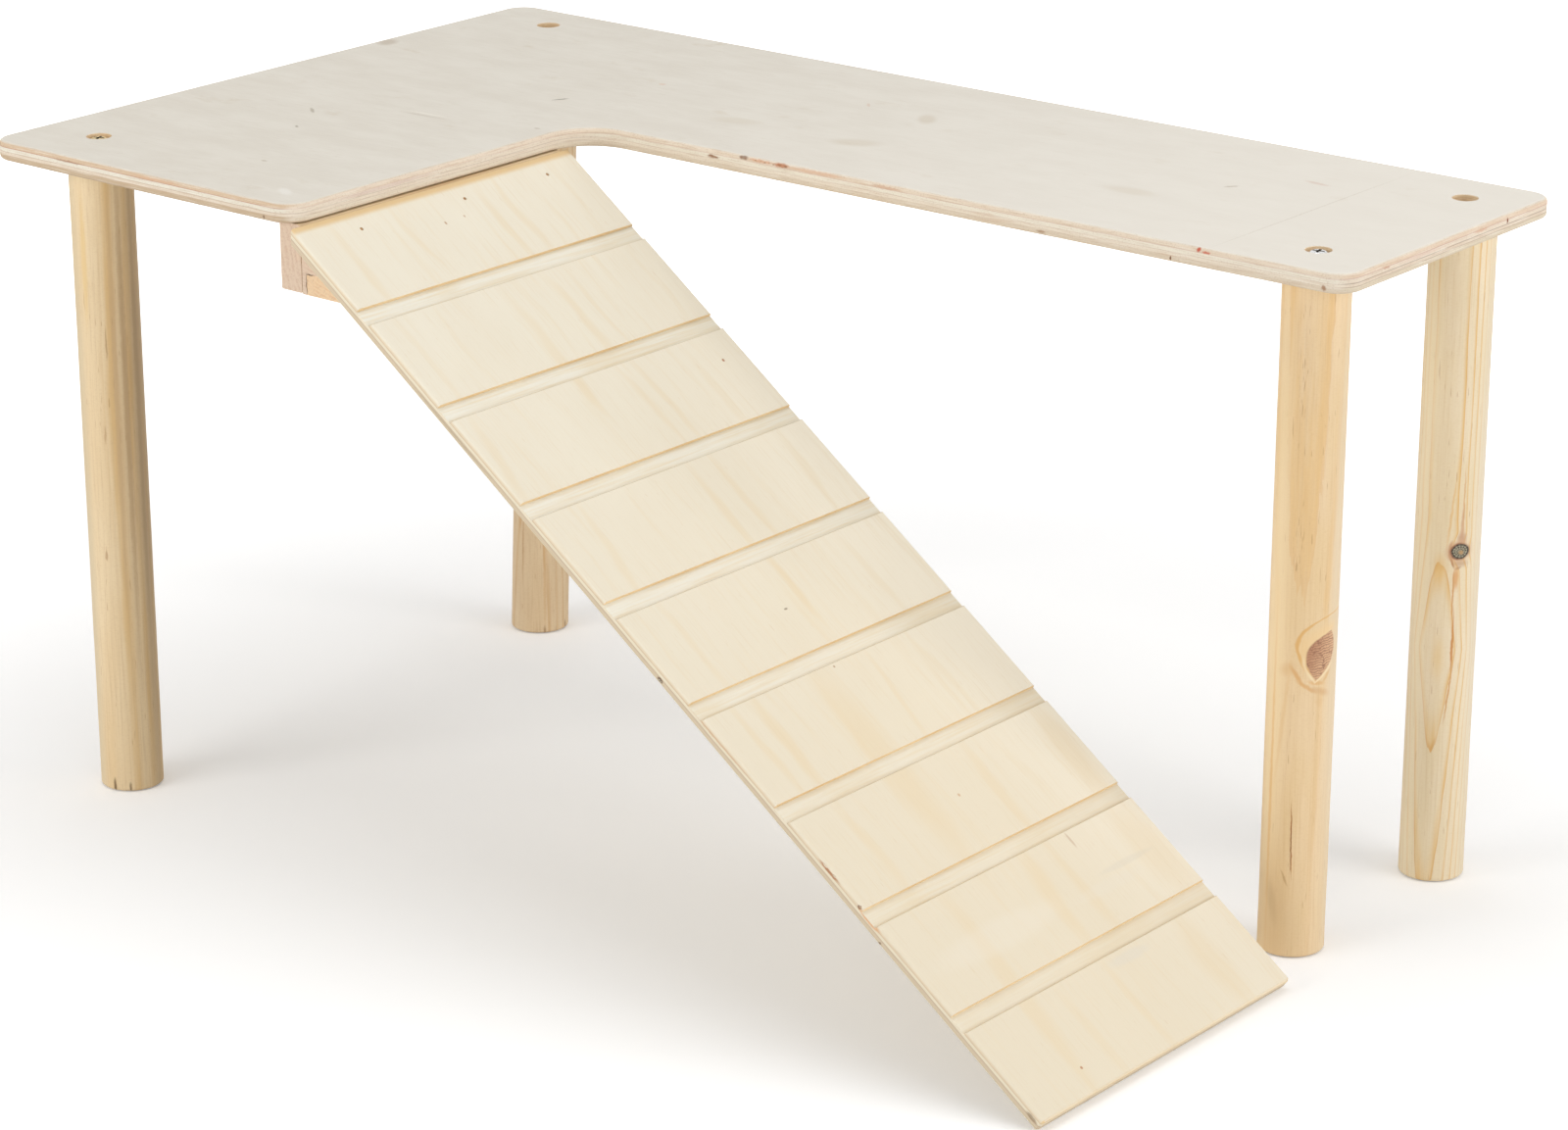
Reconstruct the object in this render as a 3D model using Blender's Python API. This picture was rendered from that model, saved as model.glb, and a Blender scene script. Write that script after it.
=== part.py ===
"""Pet platform: an L-shaped plywood deck on four dowel legs, with a grooved ramp in the notch of the L.

Metres, +Z up. The origin is on the floor under the middle of the deck. The long arm runs along X at
the back, the short arm comes forward at the left, and the ramp goes down towards +X in front of it.
"""
import math

import bmesh
import bpy

# Gap kept between touching pieces, and how far a cutter runs past the face that it opens
CLEARANCE = 0.0003
OVERRUN = 0.002

# Deck
DECK_LENGTH = 0.613
DECK_DEPTH = 0.366
DECK_HEIGHT = 0.320
PLY_THICKNESS = 0.009
LONG_ARM_DEPTH = 0.1715
SHORT_ARM_WIDTH = 0.194
CORNER_RADIUS = 0.012
NOTCH_RADIUS = 0.0225
EDGE_ROUNDING = 0.002

# Legs: each one's inset from its two deck edges, and how far its foot stands from under its top
LEG_DIAMETER = 0.030
LEG_END_EASE = 0.0012
LEG_INSETS = {
    "front_left": (0.0360, 0.0355),
    "front_right": (0.0325, 0.0290),
    "back_right": (0.0290, 0.0300),
    "back_left": (0.0432, 0.0275),
}
LEG_FOOT_DRIFT = {"back_left": (-0.0016, -0.0135)}

# Leg screws, sunk in counterbores in the deck: near its surface at the front, deep at the back
LEG_SCREW_LENGTH = 0.050
LEG_SCREW_SHANK = 0.0042
LEG_SCREW_HEAD = 0.0088
LEG_SCREW_HEAD_HEIGHT = 0.0026
COUNTERBORE_DIAMETER = 0.0115
COUNTERBORE_DEPTHS = {
    "front_left": 0.0036,
    "front_right": 0.0034,
    "back_right": 0.0065,
    "back_left": 0.0065,
}
SHANK_HOLE_PLAY = 0.0010

# Ramp board
RAMP_LENGTH = 0.513
RAMP_THICKNESS = 0.0065
RAMP_NOTCH_GAP = 0.0115
RAMP_TOP_GAP = 0.0010
RAMP_EDGE_ROUNDING = 0.0016
RAMP_FOOT_EASE = 0.0008
TREAD_COUNT = 9
GROOVE_WIDTH = 0.009
GROOVE_DEPTH = 0.0018

# Batten under the deck, and the wedge that packs the ramp off it
BATTEN_WIDTH = 0.0125
BATTEN_HEIGHT = 0.031
BATTEN_END_SETBACK = 0.006
BATTEN_EDGE_ROUNDING = 0.0008
WEDGE_DROP = 0.0225

# Screws that hold the batten to the deck, from below
BATTEN_SCREW_COUNT = 3
BATTEN_SCREW_END_INSET = 0.009
BATTEN_SCREW_SHANK = 0.0035
BATTEN_SCREW_HEAD = 0.0065
BATTEN_SCREW_HEAD_HEIGHT = 0.0020
BATTEN_SCREW_SINK = 0.008
BATTEN_SCREW_BITE = 0.0055

# Brads through the ramp and the wedge into the batten
BRAD_DIAMETER = 0.0016
BRAD_LENGTH = 0.025
BRAD_ROW = 0.010
BRAD_FRONT_INSET = 0.036
BRAD_BACK_INSET = 0.024
BRAD_MIDDLE_SHIFT = 0.0055

# Shape shared by all the screws: lengths in shank diameters, the rest in shares of the head
SCREW_POINT_LENGTH = 1.2
SCREW_POINT_WIDTH = 0.16
SCREW_HEAD_OUTLINE = ((1.0, 0.0), (1.0, 0.35), (0.88, 0.78), (0.64, 1.0))
CROSS_REACH = 0.27
CROSS_HALF_WIDTH = 0.055
CROSS_FLOOR = 0.45
BRAD_POINT_WIDTH = 0.25

# Faces on round stretches, and the sharpest edge in degrees that still shades smooth
SMOOTH_LIMIT = 40
CORNER_STEPS = 10
ROUNDING_STEPS = 4
LEG_SIDES = 48
SCREW_SIDES = 20
BRAD_SIDES = 12

# Places worked out from the sizes above
LEFT, RIGHT = -DECK_LENGTH / 2, DECK_LENGTH / 2
FRONT, BACK = -DECK_DEPTH / 2, DECK_DEPTH / 2
NOTCH_X = LEFT + SHORT_ARM_WIDTH
NOTCH_Y = BACK - LONG_ARM_DEPTH
DECK_UNDERSIDE = DECK_HEIGHT - PLY_THICKNESS
RAMP_WIDTH = NOTCH_Y - FRONT - RAMP_NOTCH_GAP
RAMP_TOP = DECK_UNDERSIDE - RAMP_TOP_GAP
RAMP_SLOPE = (math.asin(RAMP_TOP / math.hypot(RAMP_LENGTH, RAMP_THICKNESS))
              - math.atan2(RAMP_THICKNESS, RAMP_LENGTH))
TREAD_LENGTH = (RAMP_LENGTH - (TREAD_COUNT - 1) * GROOVE_WIDTH) / TREAD_COUNT
BATTEN_FRONT = FRONT + BATTEN_END_SETBACK
BATTEN_LENGTH = RAMP_WIDTH - 2 * BATTEN_END_SETBACK


def clear_scene():
    for old in list(bpy.data.objects):
        bpy.data.objects.remove(old, do_unlink=True)


def material(name, colour, roughness, metallic=0.0):
    made = bpy.data.materials.new(name)
    made.use_nodes = True
    shader = made.node_tree.nodes["Principled BSDF"]
    shader.inputs["Base Color"].default_value = (*colour, 1.0)
    shader.inputs["Roughness"].default_value = roughness
    shader.inputs["Metallic"].default_value = metallic
    made.diffuse_color = (*colour, 1.0)
    return made


def arc(centre, radius, start, end, steps):
    """Points of an arc in a plane, its angles in degrees, both ends included."""
    points = []
    for step in range(steps + 1):
        angle = math.radians(start + (end - start) * step / steps)
        points.append((centre[0] + radius * math.cos(angle), centre[1] + radius * math.sin(angle)))
    return points


def loft(name, rings, look):
    """One closed solid through rings of equally many points, with a flat cap on the first and last."""
    mesh = bpy.data.meshes.new(name)
    build = bmesh.new()
    loops = [[build.verts.new(point) for point in ring] for ring in rings]
    for lower, upper in zip(loops, loops[1:]):
        for here in range(len(lower)):
            there = (here + 1) % len(lower)
            build.faces.new((lower[here], lower[there], upper[there], upper[here]))
    build.faces.new(list(reversed(loops[0])))
    build.faces.new(loops[-1])
    bmesh.ops.recalc_face_normals(build, faces=build.faces)
    build.to_mesh(mesh)
    build.free()
    mesh.shade_smooth()
    mesh.set_sharp_from_angle(angle=math.radians(SMOOTH_LIMIT))
    made = bpy.data.objects.new(name, mesh)
    made.data.materials.append(look)
    bpy.context.collection.objects.link(made)
    return made


def turned(name, profile, sides, look):
    """A solid turned about Z through (radius, height) pairs, lowest first."""
    rings = []
    for radius, height in profile:
        circle = arc((0.0, 0.0), radius, 0.0, 360.0, sides)[:-1]
        rings.append([(x, y, height) for x, y in circle])
    return loft(name, rings, look)


def as_cutter(piece):
    piece.hide_render = True
    piece.display_type = "WIRE"
    return piece


def cut(piece, cutter):
    hole = piece.modifiers.new(cutter.name, "BOOLEAN")
    hole.operation = "DIFFERENCE"
    hole.solver = "EXACT"
    hole.object = cutter


def rounded_rectangle(width, height, radius, steps):
    """A rectangle from (0, 0) to (width, height) with round corners, counter-clockwise."""
    corners = ((width - radius, radius, 270), (width - radius, height - radius, 0),
               (radius, height - radius, 90), (radius, radius, 180))
    points = []
    for x, y, start in corners:
        points += arc((x, y), radius, start, start + 90, steps)
    return points


def deck_outline(inset):
    """The L with five outer corners and the round inner one, drawn in by an inset."""
    outer = CORNER_RADIUS - inset
    corners = (
        ((LEFT + CORNER_RADIUS, FRONT + CORNER_RADIUS), outer, 180, 270),
        ((NOTCH_X - CORNER_RADIUS, FRONT + CORNER_RADIUS), outer, 270, 360),
        ((NOTCH_X + NOTCH_RADIUS, NOTCH_Y - NOTCH_RADIUS), NOTCH_RADIUS + inset, 180, 90),
        ((RIGHT - CORNER_RADIUS, NOTCH_Y + CORNER_RADIUS), outer, 270, 360),
        ((RIGHT - CORNER_RADIUS, BACK - CORNER_RADIUS), outer, 0, 90),
        ((LEFT + CORNER_RADIUS, BACK - CORNER_RADIUS), outer, 90, 180),
    )
    points = []
    for centre, radius, start, end in corners:
        points += arc(centre, radius, start, end, CORNER_STEPS)
    return points


def make_deck(look):
    """The plywood L, its upper and lower edges rounded over all the way round."""
    section = arc((0.0, DECK_UNDERSIDE + EDGE_ROUNDING), EDGE_ROUNDING, -90, 0, ROUNDING_STEPS)
    section += arc((0.0, DECK_HEIGHT - EDGE_ROUNDING), EDGE_ROUNDING, 0, 90, ROUNDING_STEPS)
    rings = []
    for reach, height in section:
        rings.append([(x, y, height) for x, y in deck_outline(EDGE_ROUNDING - reach)])
    return loft("deck", rings, look)


def leg_places():
    """Each leg's name with the place of its top, from the corner that it stands at."""
    places = {}
    for name, (inset_x, inset_y) in LEG_INSETS.items():
        x = LEFT + inset_x if name.endswith("left") else RIGHT - inset_x
        back_y = BACK - inset_y
        front_y = (FRONT if name.endswith("left") else NOTCH_Y) + inset_y
        places[name] = (x, back_y if name.startswith("back") else front_y)
    return places


def make_leg(name, place, look):
    """A round dowel with eased ends, cut level at both, whose foot may stand a little off plumb."""
    height = DECK_UNDERSIDE - CLEARANCE
    drift_x, drift_y = LEG_FOOT_DRIFT.get(name, (0.0, 0.0))
    radius = LEG_DIAMETER / 2
    profile = [(radius - LEG_END_EASE, 0.0), (radius, LEG_END_EASE),
               (radius, height - LEG_END_EASE), (radius - LEG_END_EASE, height)]
    rings = []
    for ring_radius, z in profile:
        lean = 1 - z / height
        circle = arc((drift_x * lean, drift_y * lean), ring_radius, 0, 360, LEG_SIDES)[:-1]
        rings.append([(x, y, z) for x, y in circle])
    leg = loft("leg_" + name, rings, look)
    leg.location = (*place, 0.0)
    return leg


def make_screw(name, length, shank, head, head_height, look):
    """A round-head wood screw along Z: the head's seat at zero, the point down, a cross cut in the head."""
    point = shank * SCREW_POINT_LENGTH
    profile = [(shank / 2 * SCREW_POINT_WIDTH, -length), (shank / 2, point - length), (shank / 2, 0.0)]
    profile += [(head / 2 * radius, head_height * rise) for radius, rise in SCREW_HEAD_OUTLINE]
    screw = turned(name, profile, SCREW_SIDES, look)
    arm, half = head * CROSS_REACH, head * CROSS_HALF_WIDTH
    cross = [(half, half), (half, arm), (-half, arm), (-half, half), (-arm, half), (-arm, -half),
             (-half, -half), (-half, -arm), (half, -arm), (half, -half), (arm, -half), (arm, half)]
    floor, top = head_height * CROSS_FLOOR, head_height + OVERRUN
    recess = as_cutter(loft(name + "_recess", [[(x, y, z) for x, y in cross] for z in (floor, top)], look))
    recess.parent = screw
    cut(screw, recess)
    return screw


def round_cutter(name, profile, sides, look):
    return as_cutter(turned(name, profile, sides, look))


def fasten_leg(name, place, deck, leg, look):
    """The screw of one leg, its counterbored hole in the deck and its pilot hole in the leg."""
    floor = DECK_HEIGHT - COUNTERBORE_DEPTHS[name]
    seat = floor + CLEARANCE
    screw = make_screw("leg_screw_" + name, LEG_SCREW_LENGTH, LEG_SCREW_SHANK, LEG_SCREW_HEAD,
                       LEG_SCREW_HEAD_HEIGHT, look)
    screw.location = (*place, seat)
    bore = COUNTERBORE_DIAMETER / 2
    shank_hole = (LEG_SCREW_SHANK + SHANK_HOLE_PLAY) / 2
    deck_hole = round_cutter("deck_hole_" + name, [
        (shank_hole, DECK_UNDERSIDE - OVERRUN), (shank_hole, floor), (bore, floor),
        (bore, DECK_HEIGHT + OVERRUN)], LEG_SIDES, look)
    deck_hole.location = (*place, 0.0)
    cut(deck, deck_hole)
    pilot = LEG_SCREW_SHANK / 2 + CLEARANCE
    pilot_hole = round_cutter("pilot_hole_" + name, [
        (pilot, seat - LEG_SCREW_LENGTH - CLEARANCE), (pilot, DECK_UNDERSIDE + OVERRUN)], SCREW_SIDES, look)
    pilot_hole.location = (*place, 0.0)
    cut(leg, pilot_hole)
    return screw


def make_batten(look):
    """The strip under the short arm that the ramp butts against, flush with the notch's edge."""
    profile = rounded_rectangle(BATTEN_WIDTH, BATTEN_HEIGHT, BATTEN_EDGE_ROUNDING, ROUNDING_STEPS)
    rings = [[(x, y, z) for x, z in profile] for y in (0.0, BATTEN_LENGTH)]
    batten = loft("deck_batten", rings, look)
    batten.location = (NOTCH_X - BATTEN_WIDTH, BATTEN_FRONT, DECK_UNDERSIDE - CLEARANCE - BATTEN_HEIGHT)
    return batten


def batten_screw_rows():
    """Where the batten's screws stand along it, from its front end."""
    span = BATTEN_LENGTH - 2 * BATTEN_SCREW_END_INSET
    return [BATTEN_SCREW_END_INSET + span * row / (BATTEN_SCREW_COUNT - 1) for row in range(BATTEN_SCREW_COUNT)]


def fasten_batten(deck, batten, look):
    """Screws up through the batten into the deck, their heads sunk in its lower face."""
    seat = batten.location.z + BATTEN_SCREW_SINK - CLEARANCE
    length = DECK_UNDERSIDE + BATTEN_SCREW_BITE - seat
    radius = BATTEN_SCREW_SHANK / 2 + CLEARANCE
    sink = BATTEN_SCREW_HEAD / 2 + CLEARANCE
    for number, row in enumerate(batten_screw_rows(), start=1):
        name = "batten_screw_" + str(number)
        screw = make_screw(name, length, BATTEN_SCREW_SHANK, BATTEN_SCREW_HEAD, BATTEN_SCREW_HEAD_HEIGHT, look)
        place = (NOTCH_X - BATTEN_WIDTH / 2, BATTEN_FRONT + row)
        screw.rotation_euler = (math.pi, 0.0, 0.0)
        screw.location = (*place, seat)
        hole = round_cutter(name + "_hole", [
            (sink, batten.location.z - OVERRUN), (sink, seat + CLEARANCE), (radius, seat + CLEARANCE),
            (radius, seat + length + CLEARANCE)], SCREW_SIDES, look)
        hole.location = (*place, 0.0)
        cut(batten, hole)
        cut(deck, hole)


def make_ramp(look):
    """The grooved board: its top end cut plumb against the batten, its lower end square, its long edges round.

    In its own frame X runs down the slope along the upper face, Y across and Z out of that face.
    """
    section = rounded_rectangle(RAMP_WIDTH, RAMP_THICKNESS, RAMP_EDGE_ROUNDING, ROUNDING_STEPS)
    section = [(y, z - RAMP_THICKNESS) for y, z in section]
    plumb = math.tan(RAMP_SLOPE)
    keep_y = 1 - 2 * RAMP_FOOT_EASE / RAMP_WIDTH
    keep_z = 1 - 2 * RAMP_FOOT_EASE / RAMP_THICKNESS
    foot = [(RAMP_WIDTH / 2 + (y - RAMP_WIDTH / 2) * keep_y,
             -RAMP_THICKNESS / 2 + (z + RAMP_THICKNESS / 2) * keep_z) for y, z in section]
    rings = [
        [(-z * plumb, y, z) for y, z in section],
        [(RAMP_LENGTH - RAMP_FOOT_EASE, y, z) for y, z in section],
        [(RAMP_LENGTH, y, z) for y, z in foot],
    ]
    ramp = loft("ramp_board", rings, look)
    ramp.rotation_euler = (0.0, RAMP_SLOPE, 0.0)
    ramp.location = (NOTCH_X + CLEARANCE, FRONT, RAMP_TOP)
    for tread in range(1, TREAD_COUNT):
        start = tread * TREAD_LENGTH + (tread - 1) * GROOVE_WIDTH
        ends = (start, start + GROOVE_WIDTH)
        sides = (-OVERRUN, RAMP_WIDTH + OVERRUN)
        rings = [[(ends[0], sides[0], z), (ends[1], sides[0], z), (ends[1], sides[1], z), (ends[0], sides[1], z)]
                 for z in (-GROOVE_DEPTH, OVERRUN)]
        groove = as_cutter(loft("groove_" + str(tread), rings, look))
        groove.parent = ramp
        cut(ramp, groove)
    return ramp


def make_wedge(look):
    """The tapered strip between the batten and the ramp's underside."""
    under = RAMP_TOP - RAMP_THICKNESS / math.cos(RAMP_SLOPE)
    slope = math.tan(RAMP_SLOPE)
    gap = CLEARANCE / math.cos(RAMP_SLOPE)
    back = NOTCH_X + CLEARANCE
    bottom = under - WEDGE_DROP
    apex = under - gap
    profile = [(back, bottom), (back + (apex - bottom) / slope, bottom), (back, apex)]
    rings = [[(x, y, z) for x, z in profile] for y in (0.0, BATTEN_LENGTH)]
    wedge = loft("ramp_wedge", rings, look)
    wedge.location.y = BATTEN_FRONT
    return wedge


def brad_places():
    """Where the brads stand across the ramp; the middle one was driven a little off the middle."""
    first, last = BRAD_FRONT_INSET, RAMP_WIDTH - BRAD_BACK_INSET
    return [first, (first + last) / 2 + BRAD_MIDDLE_SHIFT, last]


def make_brads(ramp, held, look):
    """Brads square to the ramp's face, with their holes in every piece that they go through."""
    radius = BRAD_DIAMETER / 2
    for number, across in enumerate(brad_places(), start=1):
        name = "ramp_brad_" + str(number)
        brad = turned(name, [(radius * BRAD_POINT_WIDTH, -BRAD_LENGTH), (radius, BRAD_DIAMETER - BRAD_LENGTH),
                             (radius, -CLEARANCE)], BRAD_SIDES, look)
        hole = round_cutter(name + "_hole", [(radius + CLEARANCE, -BRAD_LENGTH - CLEARANCE),
                                             (radius + CLEARANCE, OVERRUN)], BRAD_SIDES, look)
        for piece in (brad, hole):
            piece.parent = ramp
            piece.location = (BRAD_ROW, across, 0.0)
        for board in held:
            cut(board, hole)


def main():
    clear_scene()
    plywood = material("poplar plywood", (0.75, 0.68, 0.58), 0.55)
    ramp_ply = material("cream plywood", (0.85, 0.77, 0.62), 0.55)
    pine = material("pine dowel", (0.78, 0.62, 0.38), 0.5)
    spruce = material("rough spruce", (0.72, 0.54, 0.38), 0.7)
    steel = material("plated steel", (0.66, 0.62, 0.52), 0.35, 1.0)
    bare_steel = material("bare steel", (0.45, 0.43, 0.41), 0.45, 1.0)

    deck = make_deck(plywood)
    for name, place in leg_places().items():
        leg = make_leg(name, place, pine)
        fasten_leg(name, place, deck, leg, steel)
    batten = make_batten(spruce)
    fasten_batten(deck, batten, steel)
    ramp = make_ramp(ramp_ply)
    wedge = make_wedge(spruce)
    make_brads(ramp, (ramp, wedge, batten), bare_steel)


main()
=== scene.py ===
"""Looks of the pet platform: fine wood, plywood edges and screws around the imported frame, in a studio."""
import math

import bmesh
import bpy
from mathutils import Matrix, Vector, noise


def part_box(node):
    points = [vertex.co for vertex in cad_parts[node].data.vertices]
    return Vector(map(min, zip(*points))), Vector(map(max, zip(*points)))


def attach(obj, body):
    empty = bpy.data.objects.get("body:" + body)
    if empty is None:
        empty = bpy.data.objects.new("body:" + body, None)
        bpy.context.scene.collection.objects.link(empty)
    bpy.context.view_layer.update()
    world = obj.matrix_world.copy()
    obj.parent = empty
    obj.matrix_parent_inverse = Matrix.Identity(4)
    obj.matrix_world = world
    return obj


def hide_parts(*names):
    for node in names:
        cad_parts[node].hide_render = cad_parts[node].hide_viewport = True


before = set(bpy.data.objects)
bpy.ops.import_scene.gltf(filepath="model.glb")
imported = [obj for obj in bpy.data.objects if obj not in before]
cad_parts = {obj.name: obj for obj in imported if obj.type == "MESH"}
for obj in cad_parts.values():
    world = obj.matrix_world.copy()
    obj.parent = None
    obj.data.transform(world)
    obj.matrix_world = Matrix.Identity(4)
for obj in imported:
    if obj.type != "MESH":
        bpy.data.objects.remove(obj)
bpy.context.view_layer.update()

# The photograph's frame, and the camera that took it
PHOTO_WIDTH, PHOTO_HEIGHT = 1600, 1153
FOCAL_LENGTH_PX = 4755.7
AXIS_PX = (805.0, 669.4)
SENSOR_WIDTH = 36.0
CAMERA_PLACE = Vector((1.2961, -1.5788, 0.8444))
CAMERA_AZIMUTH = 38.96
CAMERA_DIP = 20.40

# Light: the even surround, then each soft lamp's degrees to the right of the camera, height, share and size
AMBIENT = 0.44
LAMPS = {
    "key_right": (62, 15, 0.38, 1.3),
    "key_left": (-58, 15, 0.38, 1.3),
    "overhead": (0, 90, 0.35, 1.6),
}
LAMP_DISTANCE = 2.2
FLOOR_LIFT = 0.20
WHITE_FROM, WHITE_BY = 0.35, 1.3

MM = 0.001
CLEARANCE = 0.0003
# How far a cutter runs past the face that it opens
OVERRUN = 0.002
# How far wear takes back edges and dowels, and how deep the saw's marks are
WEAR = 0.00016
SAW_MARKS = 0.00022

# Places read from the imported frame
DECK_LOW, DECK_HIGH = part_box("deck")
LEFT, FRONT, UNDERSIDE = DECK_LOW
RIGHT, BACK, DECK_TOP = DECK_HIGH
BATTEN_LOW, BATTEN_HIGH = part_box("deck_batten")
WEDGE_LOW, WEDGE_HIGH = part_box("ramp_wedge")
RAMP_LOW, RAMP_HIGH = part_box("ramp_board")
NOTCH_X = BATTEN_HIGH.x
RAMP_WIDTH = RAMP_HIGH.y - RAMP_LOW.y

# Sizes that the solids have too
NOTCH_Y = BACK - 0.1715
CORNER_RADIUS = 0.012
NOTCH_RADIUS = 0.0225
EDGE_ROUNDING = 0.002
LEG_RADIUS = 0.015
LEG_END_EASE = 0.0012
COUNTERBORE = 0.0115 / 2
BROKEN_RIM = 0.0003
SCREW_PLAY = 0.001
RAMP_LENGTH = 0.513
RAMP_THICKNESS = 0.0065
RAMP_EDGE_ROUNDING = 0.0016
RAMP_FOOT_EASE = 0.0008
TREAD_COUNT = 9
GROOVE_WIDTH = 0.009
GROOVE_DEPTH = 0.0018
TREAD_LENGTH = (RAMP_LENGTH - (TREAD_COUNT - 1) * GROOVE_WIDTH) / TREAD_COUNT
TREAD_PITCH = TREAD_LENGTH + GROOVE_WIDTH
RAMP_SLOPE = (math.asin(RAMP_HIGH.z / math.hypot(RAMP_LENGTH, RAMP_THICKNESS))
              - math.atan2(RAMP_THICKNESS, RAMP_LENGTH))
LEG_SCREW = {"length": 0.050, "shank": 0.0042, "head": 0.0088, "rise": 0.0026}
BATTEN_SCREW = {"shank": 0.0035, "head": 0.0065, "rise": 0.0020}
BRAD_LENGTH, BRAD_RADIUS, BRAD_ROW = 0.025, 0.0008, 0.010

# The pieces that repeat
LEG_NAMES = ("front_left", "front_right", "back_right", "back_left")
BATTEN_SCREWS = (1, 2, 3)
BRADS = (1, 2, 3)

# Edges sharper than this, in degrees, stay sharp when a piece is shaded smooth
SHARP = 38


def linear_colour(red, green, blue):
    """A display colour, 0 to 255, as the linear colour that a shader takes."""
    def linear(level):
        share = level / 255
        return share / 12.92 if share <= 0.04045 else ((share + 0.055) / 1.055) ** 2.4
    return (linear(red), linear(green), linear(blue), 1.0)


class Look:
    """A material being made. Each call adds one step and gives back its output.

    Colours are given as red, green and blue from 0 to 255, as a display shows them.
    """

    def __init__(self, name, roughness):
        self.material = bpy.data.materials.new(name)
        self.material.use_nodes = True
        self.tree = self.material.node_tree
        self.shader = self.tree.nodes["Principled BSDF"]
        self.shader.inputs["Roughness"].default_value = roughness
        self.shader.inputs["Specular IOR Level"].default_value = 0.3
        self.place = self.node("ShaderNodeTexCoord").outputs["Object"]
        self.normal = self.node("ShaderNodeNewGeometry").outputs["Normal"]

    def node(self, kind, **settings):
        made = self.tree.nodes.new(kind)
        for name, value in settings.items():
            setattr(made, name, value)
        return made

    def feed(self, socket, value):
        if isinstance(value, bpy.types.NodeSocket):
            self.tree.links.new(value, socket)
        else:
            socket.default_value = linear_colour(*value) if socket.type == "RGBA" else value

    def math(self, operation, *values):
        step = self.node("ShaderNodeMath", operation=operation)
        for socket, value in zip(step.inputs, values):
            self.feed(socket, value)
        return step.outputs[0]

    def times(self, first, second):
        return self.math("MULTIPLY", first, second)

    def times_plus(self, first, second, third):
        return self.math("MULTIPLY_ADD", first, second, third)

    def plus(self, first, second):
        return self.math("ADD", first, second)

    def minus(self, first, second):
        return self.math("SUBTRACT", first, second)

    def vector(self, operation, *values):
        step = self.node("ShaderNodeVectorMath", operation=operation)
        for socket, value in zip(step.inputs, values):
            self.feed(socket, value)
        return step.outputs["Value" if operation == "LENGTH" else "Vector"]

    def split(self, place):
        step = self.node("ShaderNodeSeparateXYZ")
        self.feed(step.inputs[0], place)
        return step.outputs[0], step.outputs[1], step.outputs[2]

    def local(self, place, location, rotation=(0.0, 0.0, 0.0), scale=(1.0, 1.0, 1.0)):
        """The same place seen from a frame with that location, rotation and scale."""
        step = self.node("ShaderNodeMapping", vector_type="TEXTURE")
        self.feed(step.inputs["Vector"], place)
        step.inputs["Location"].default_value = location
        step.inputs["Rotation"].default_value = rotation
        step.inputs["Scale"].default_value = scale
        return step.outputs[0]

    def grain(self, place, per_metre, detail=2.0, roughness=0.5):
        """A noise node whose grains per metre are given along each axis."""
        step = self.node("ShaderNodeTexNoise")
        self.feed(step.inputs["Vector"], self.vector("MULTIPLY", place, per_metre))
        step.inputs["Scale"].default_value = 1.0
        step.inputs["Detail"].default_value = detail
        step.inputs["Roughness"].default_value = roughness
        return step

    def noise(self, place, per_metre, detail=2.0, roughness=0.5):
        return self.grain(place, per_metre, detail, roughness).outputs[0]

    def ragged(self, place, per_metre, reach):
        """The place pushed about by up to half the reach, so that shapes drawn on it get rough outlines."""
        push = self.vector("SUBTRACT", self.grain(place, per_metre).outputs[1], (0.5, 0.5, 0.5))
        return self.vector("ADD", place, self.vector("MULTIPLY", push, (reach, reach, reach)))

    def fade(self, value, low, high, start=0.0, end=1.0):
        """A smooth change from start to end while the value goes from low to high."""
        step = self.node("ShaderNodeMapRange", interpolation_type="SMOOTHSTEP")
        for socket, given in zip(step.inputs, (value, low, high, start, end)):
            self.feed(socket, given)
        return step.outputs[0]

    def mix(self, share, first, second):
        step = self.node("ShaderNodeMix", data_type="RGBA")
        self.feed(step.inputs[0], share)
        self.feed(step.inputs[6], first)
        self.feed(step.inputs[7], second)
        return step.outputs[2]

    def tint(self, base, value, low, high, strength, paint):
        """Another colour over the base, stronger as the value goes from low to high."""
        return self.mix(self.fade(value, low, high, 0.0, strength), base, paint)

    def bands(self, value, stops):
        """Colours along a value from 0 to 1, from (position, colour) pairs."""
        step = self.node("ShaderNodeValToRGB")
        self.feed(step.inputs[0], value)
        elements = step.color_ramp.elements
        while len(elements) < len(stops):
            elements.new(0.5)
        for element, (position, paint) in zip(elements, stops):
            element.position = position
            element.color = linear_colour(*paint)
        return step.outputs[0]

    def away(self, place, centre, reach, rotation=(0.0, 0.0, 0.0)):
        """Distance from a centre, in shares of a reach that is given along each axis."""
        return self.vector("LENGTH", self.local(place, centre, rotation, reach))

    def mark(self, base, place, centre, reach, paint, strength=1.0, softness=0.4, rotation=(0.0, 0.0, 0.0)):
        """A blot of another colour around one point, fading out at its reach."""
        away = self.away(place, centre, reach, rotation)
        return self.mix(self.fade(away, 1.0 - softness, 1.0 + softness, strength, 0.0), base, paint)

    def finish(self, paint, height=None, depth=0.0001):
        self.feed(self.shader.inputs["Base Color"], paint)
        if height is not None:
            bump = self.node("ShaderNodeBump")
            bump.inputs["Distance"].default_value = depth
            self.feed(bump.inputs["Height"], height)
            self.feed(self.shader.inputs["Normal"], bump.outputs[0])
        return self.material


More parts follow.
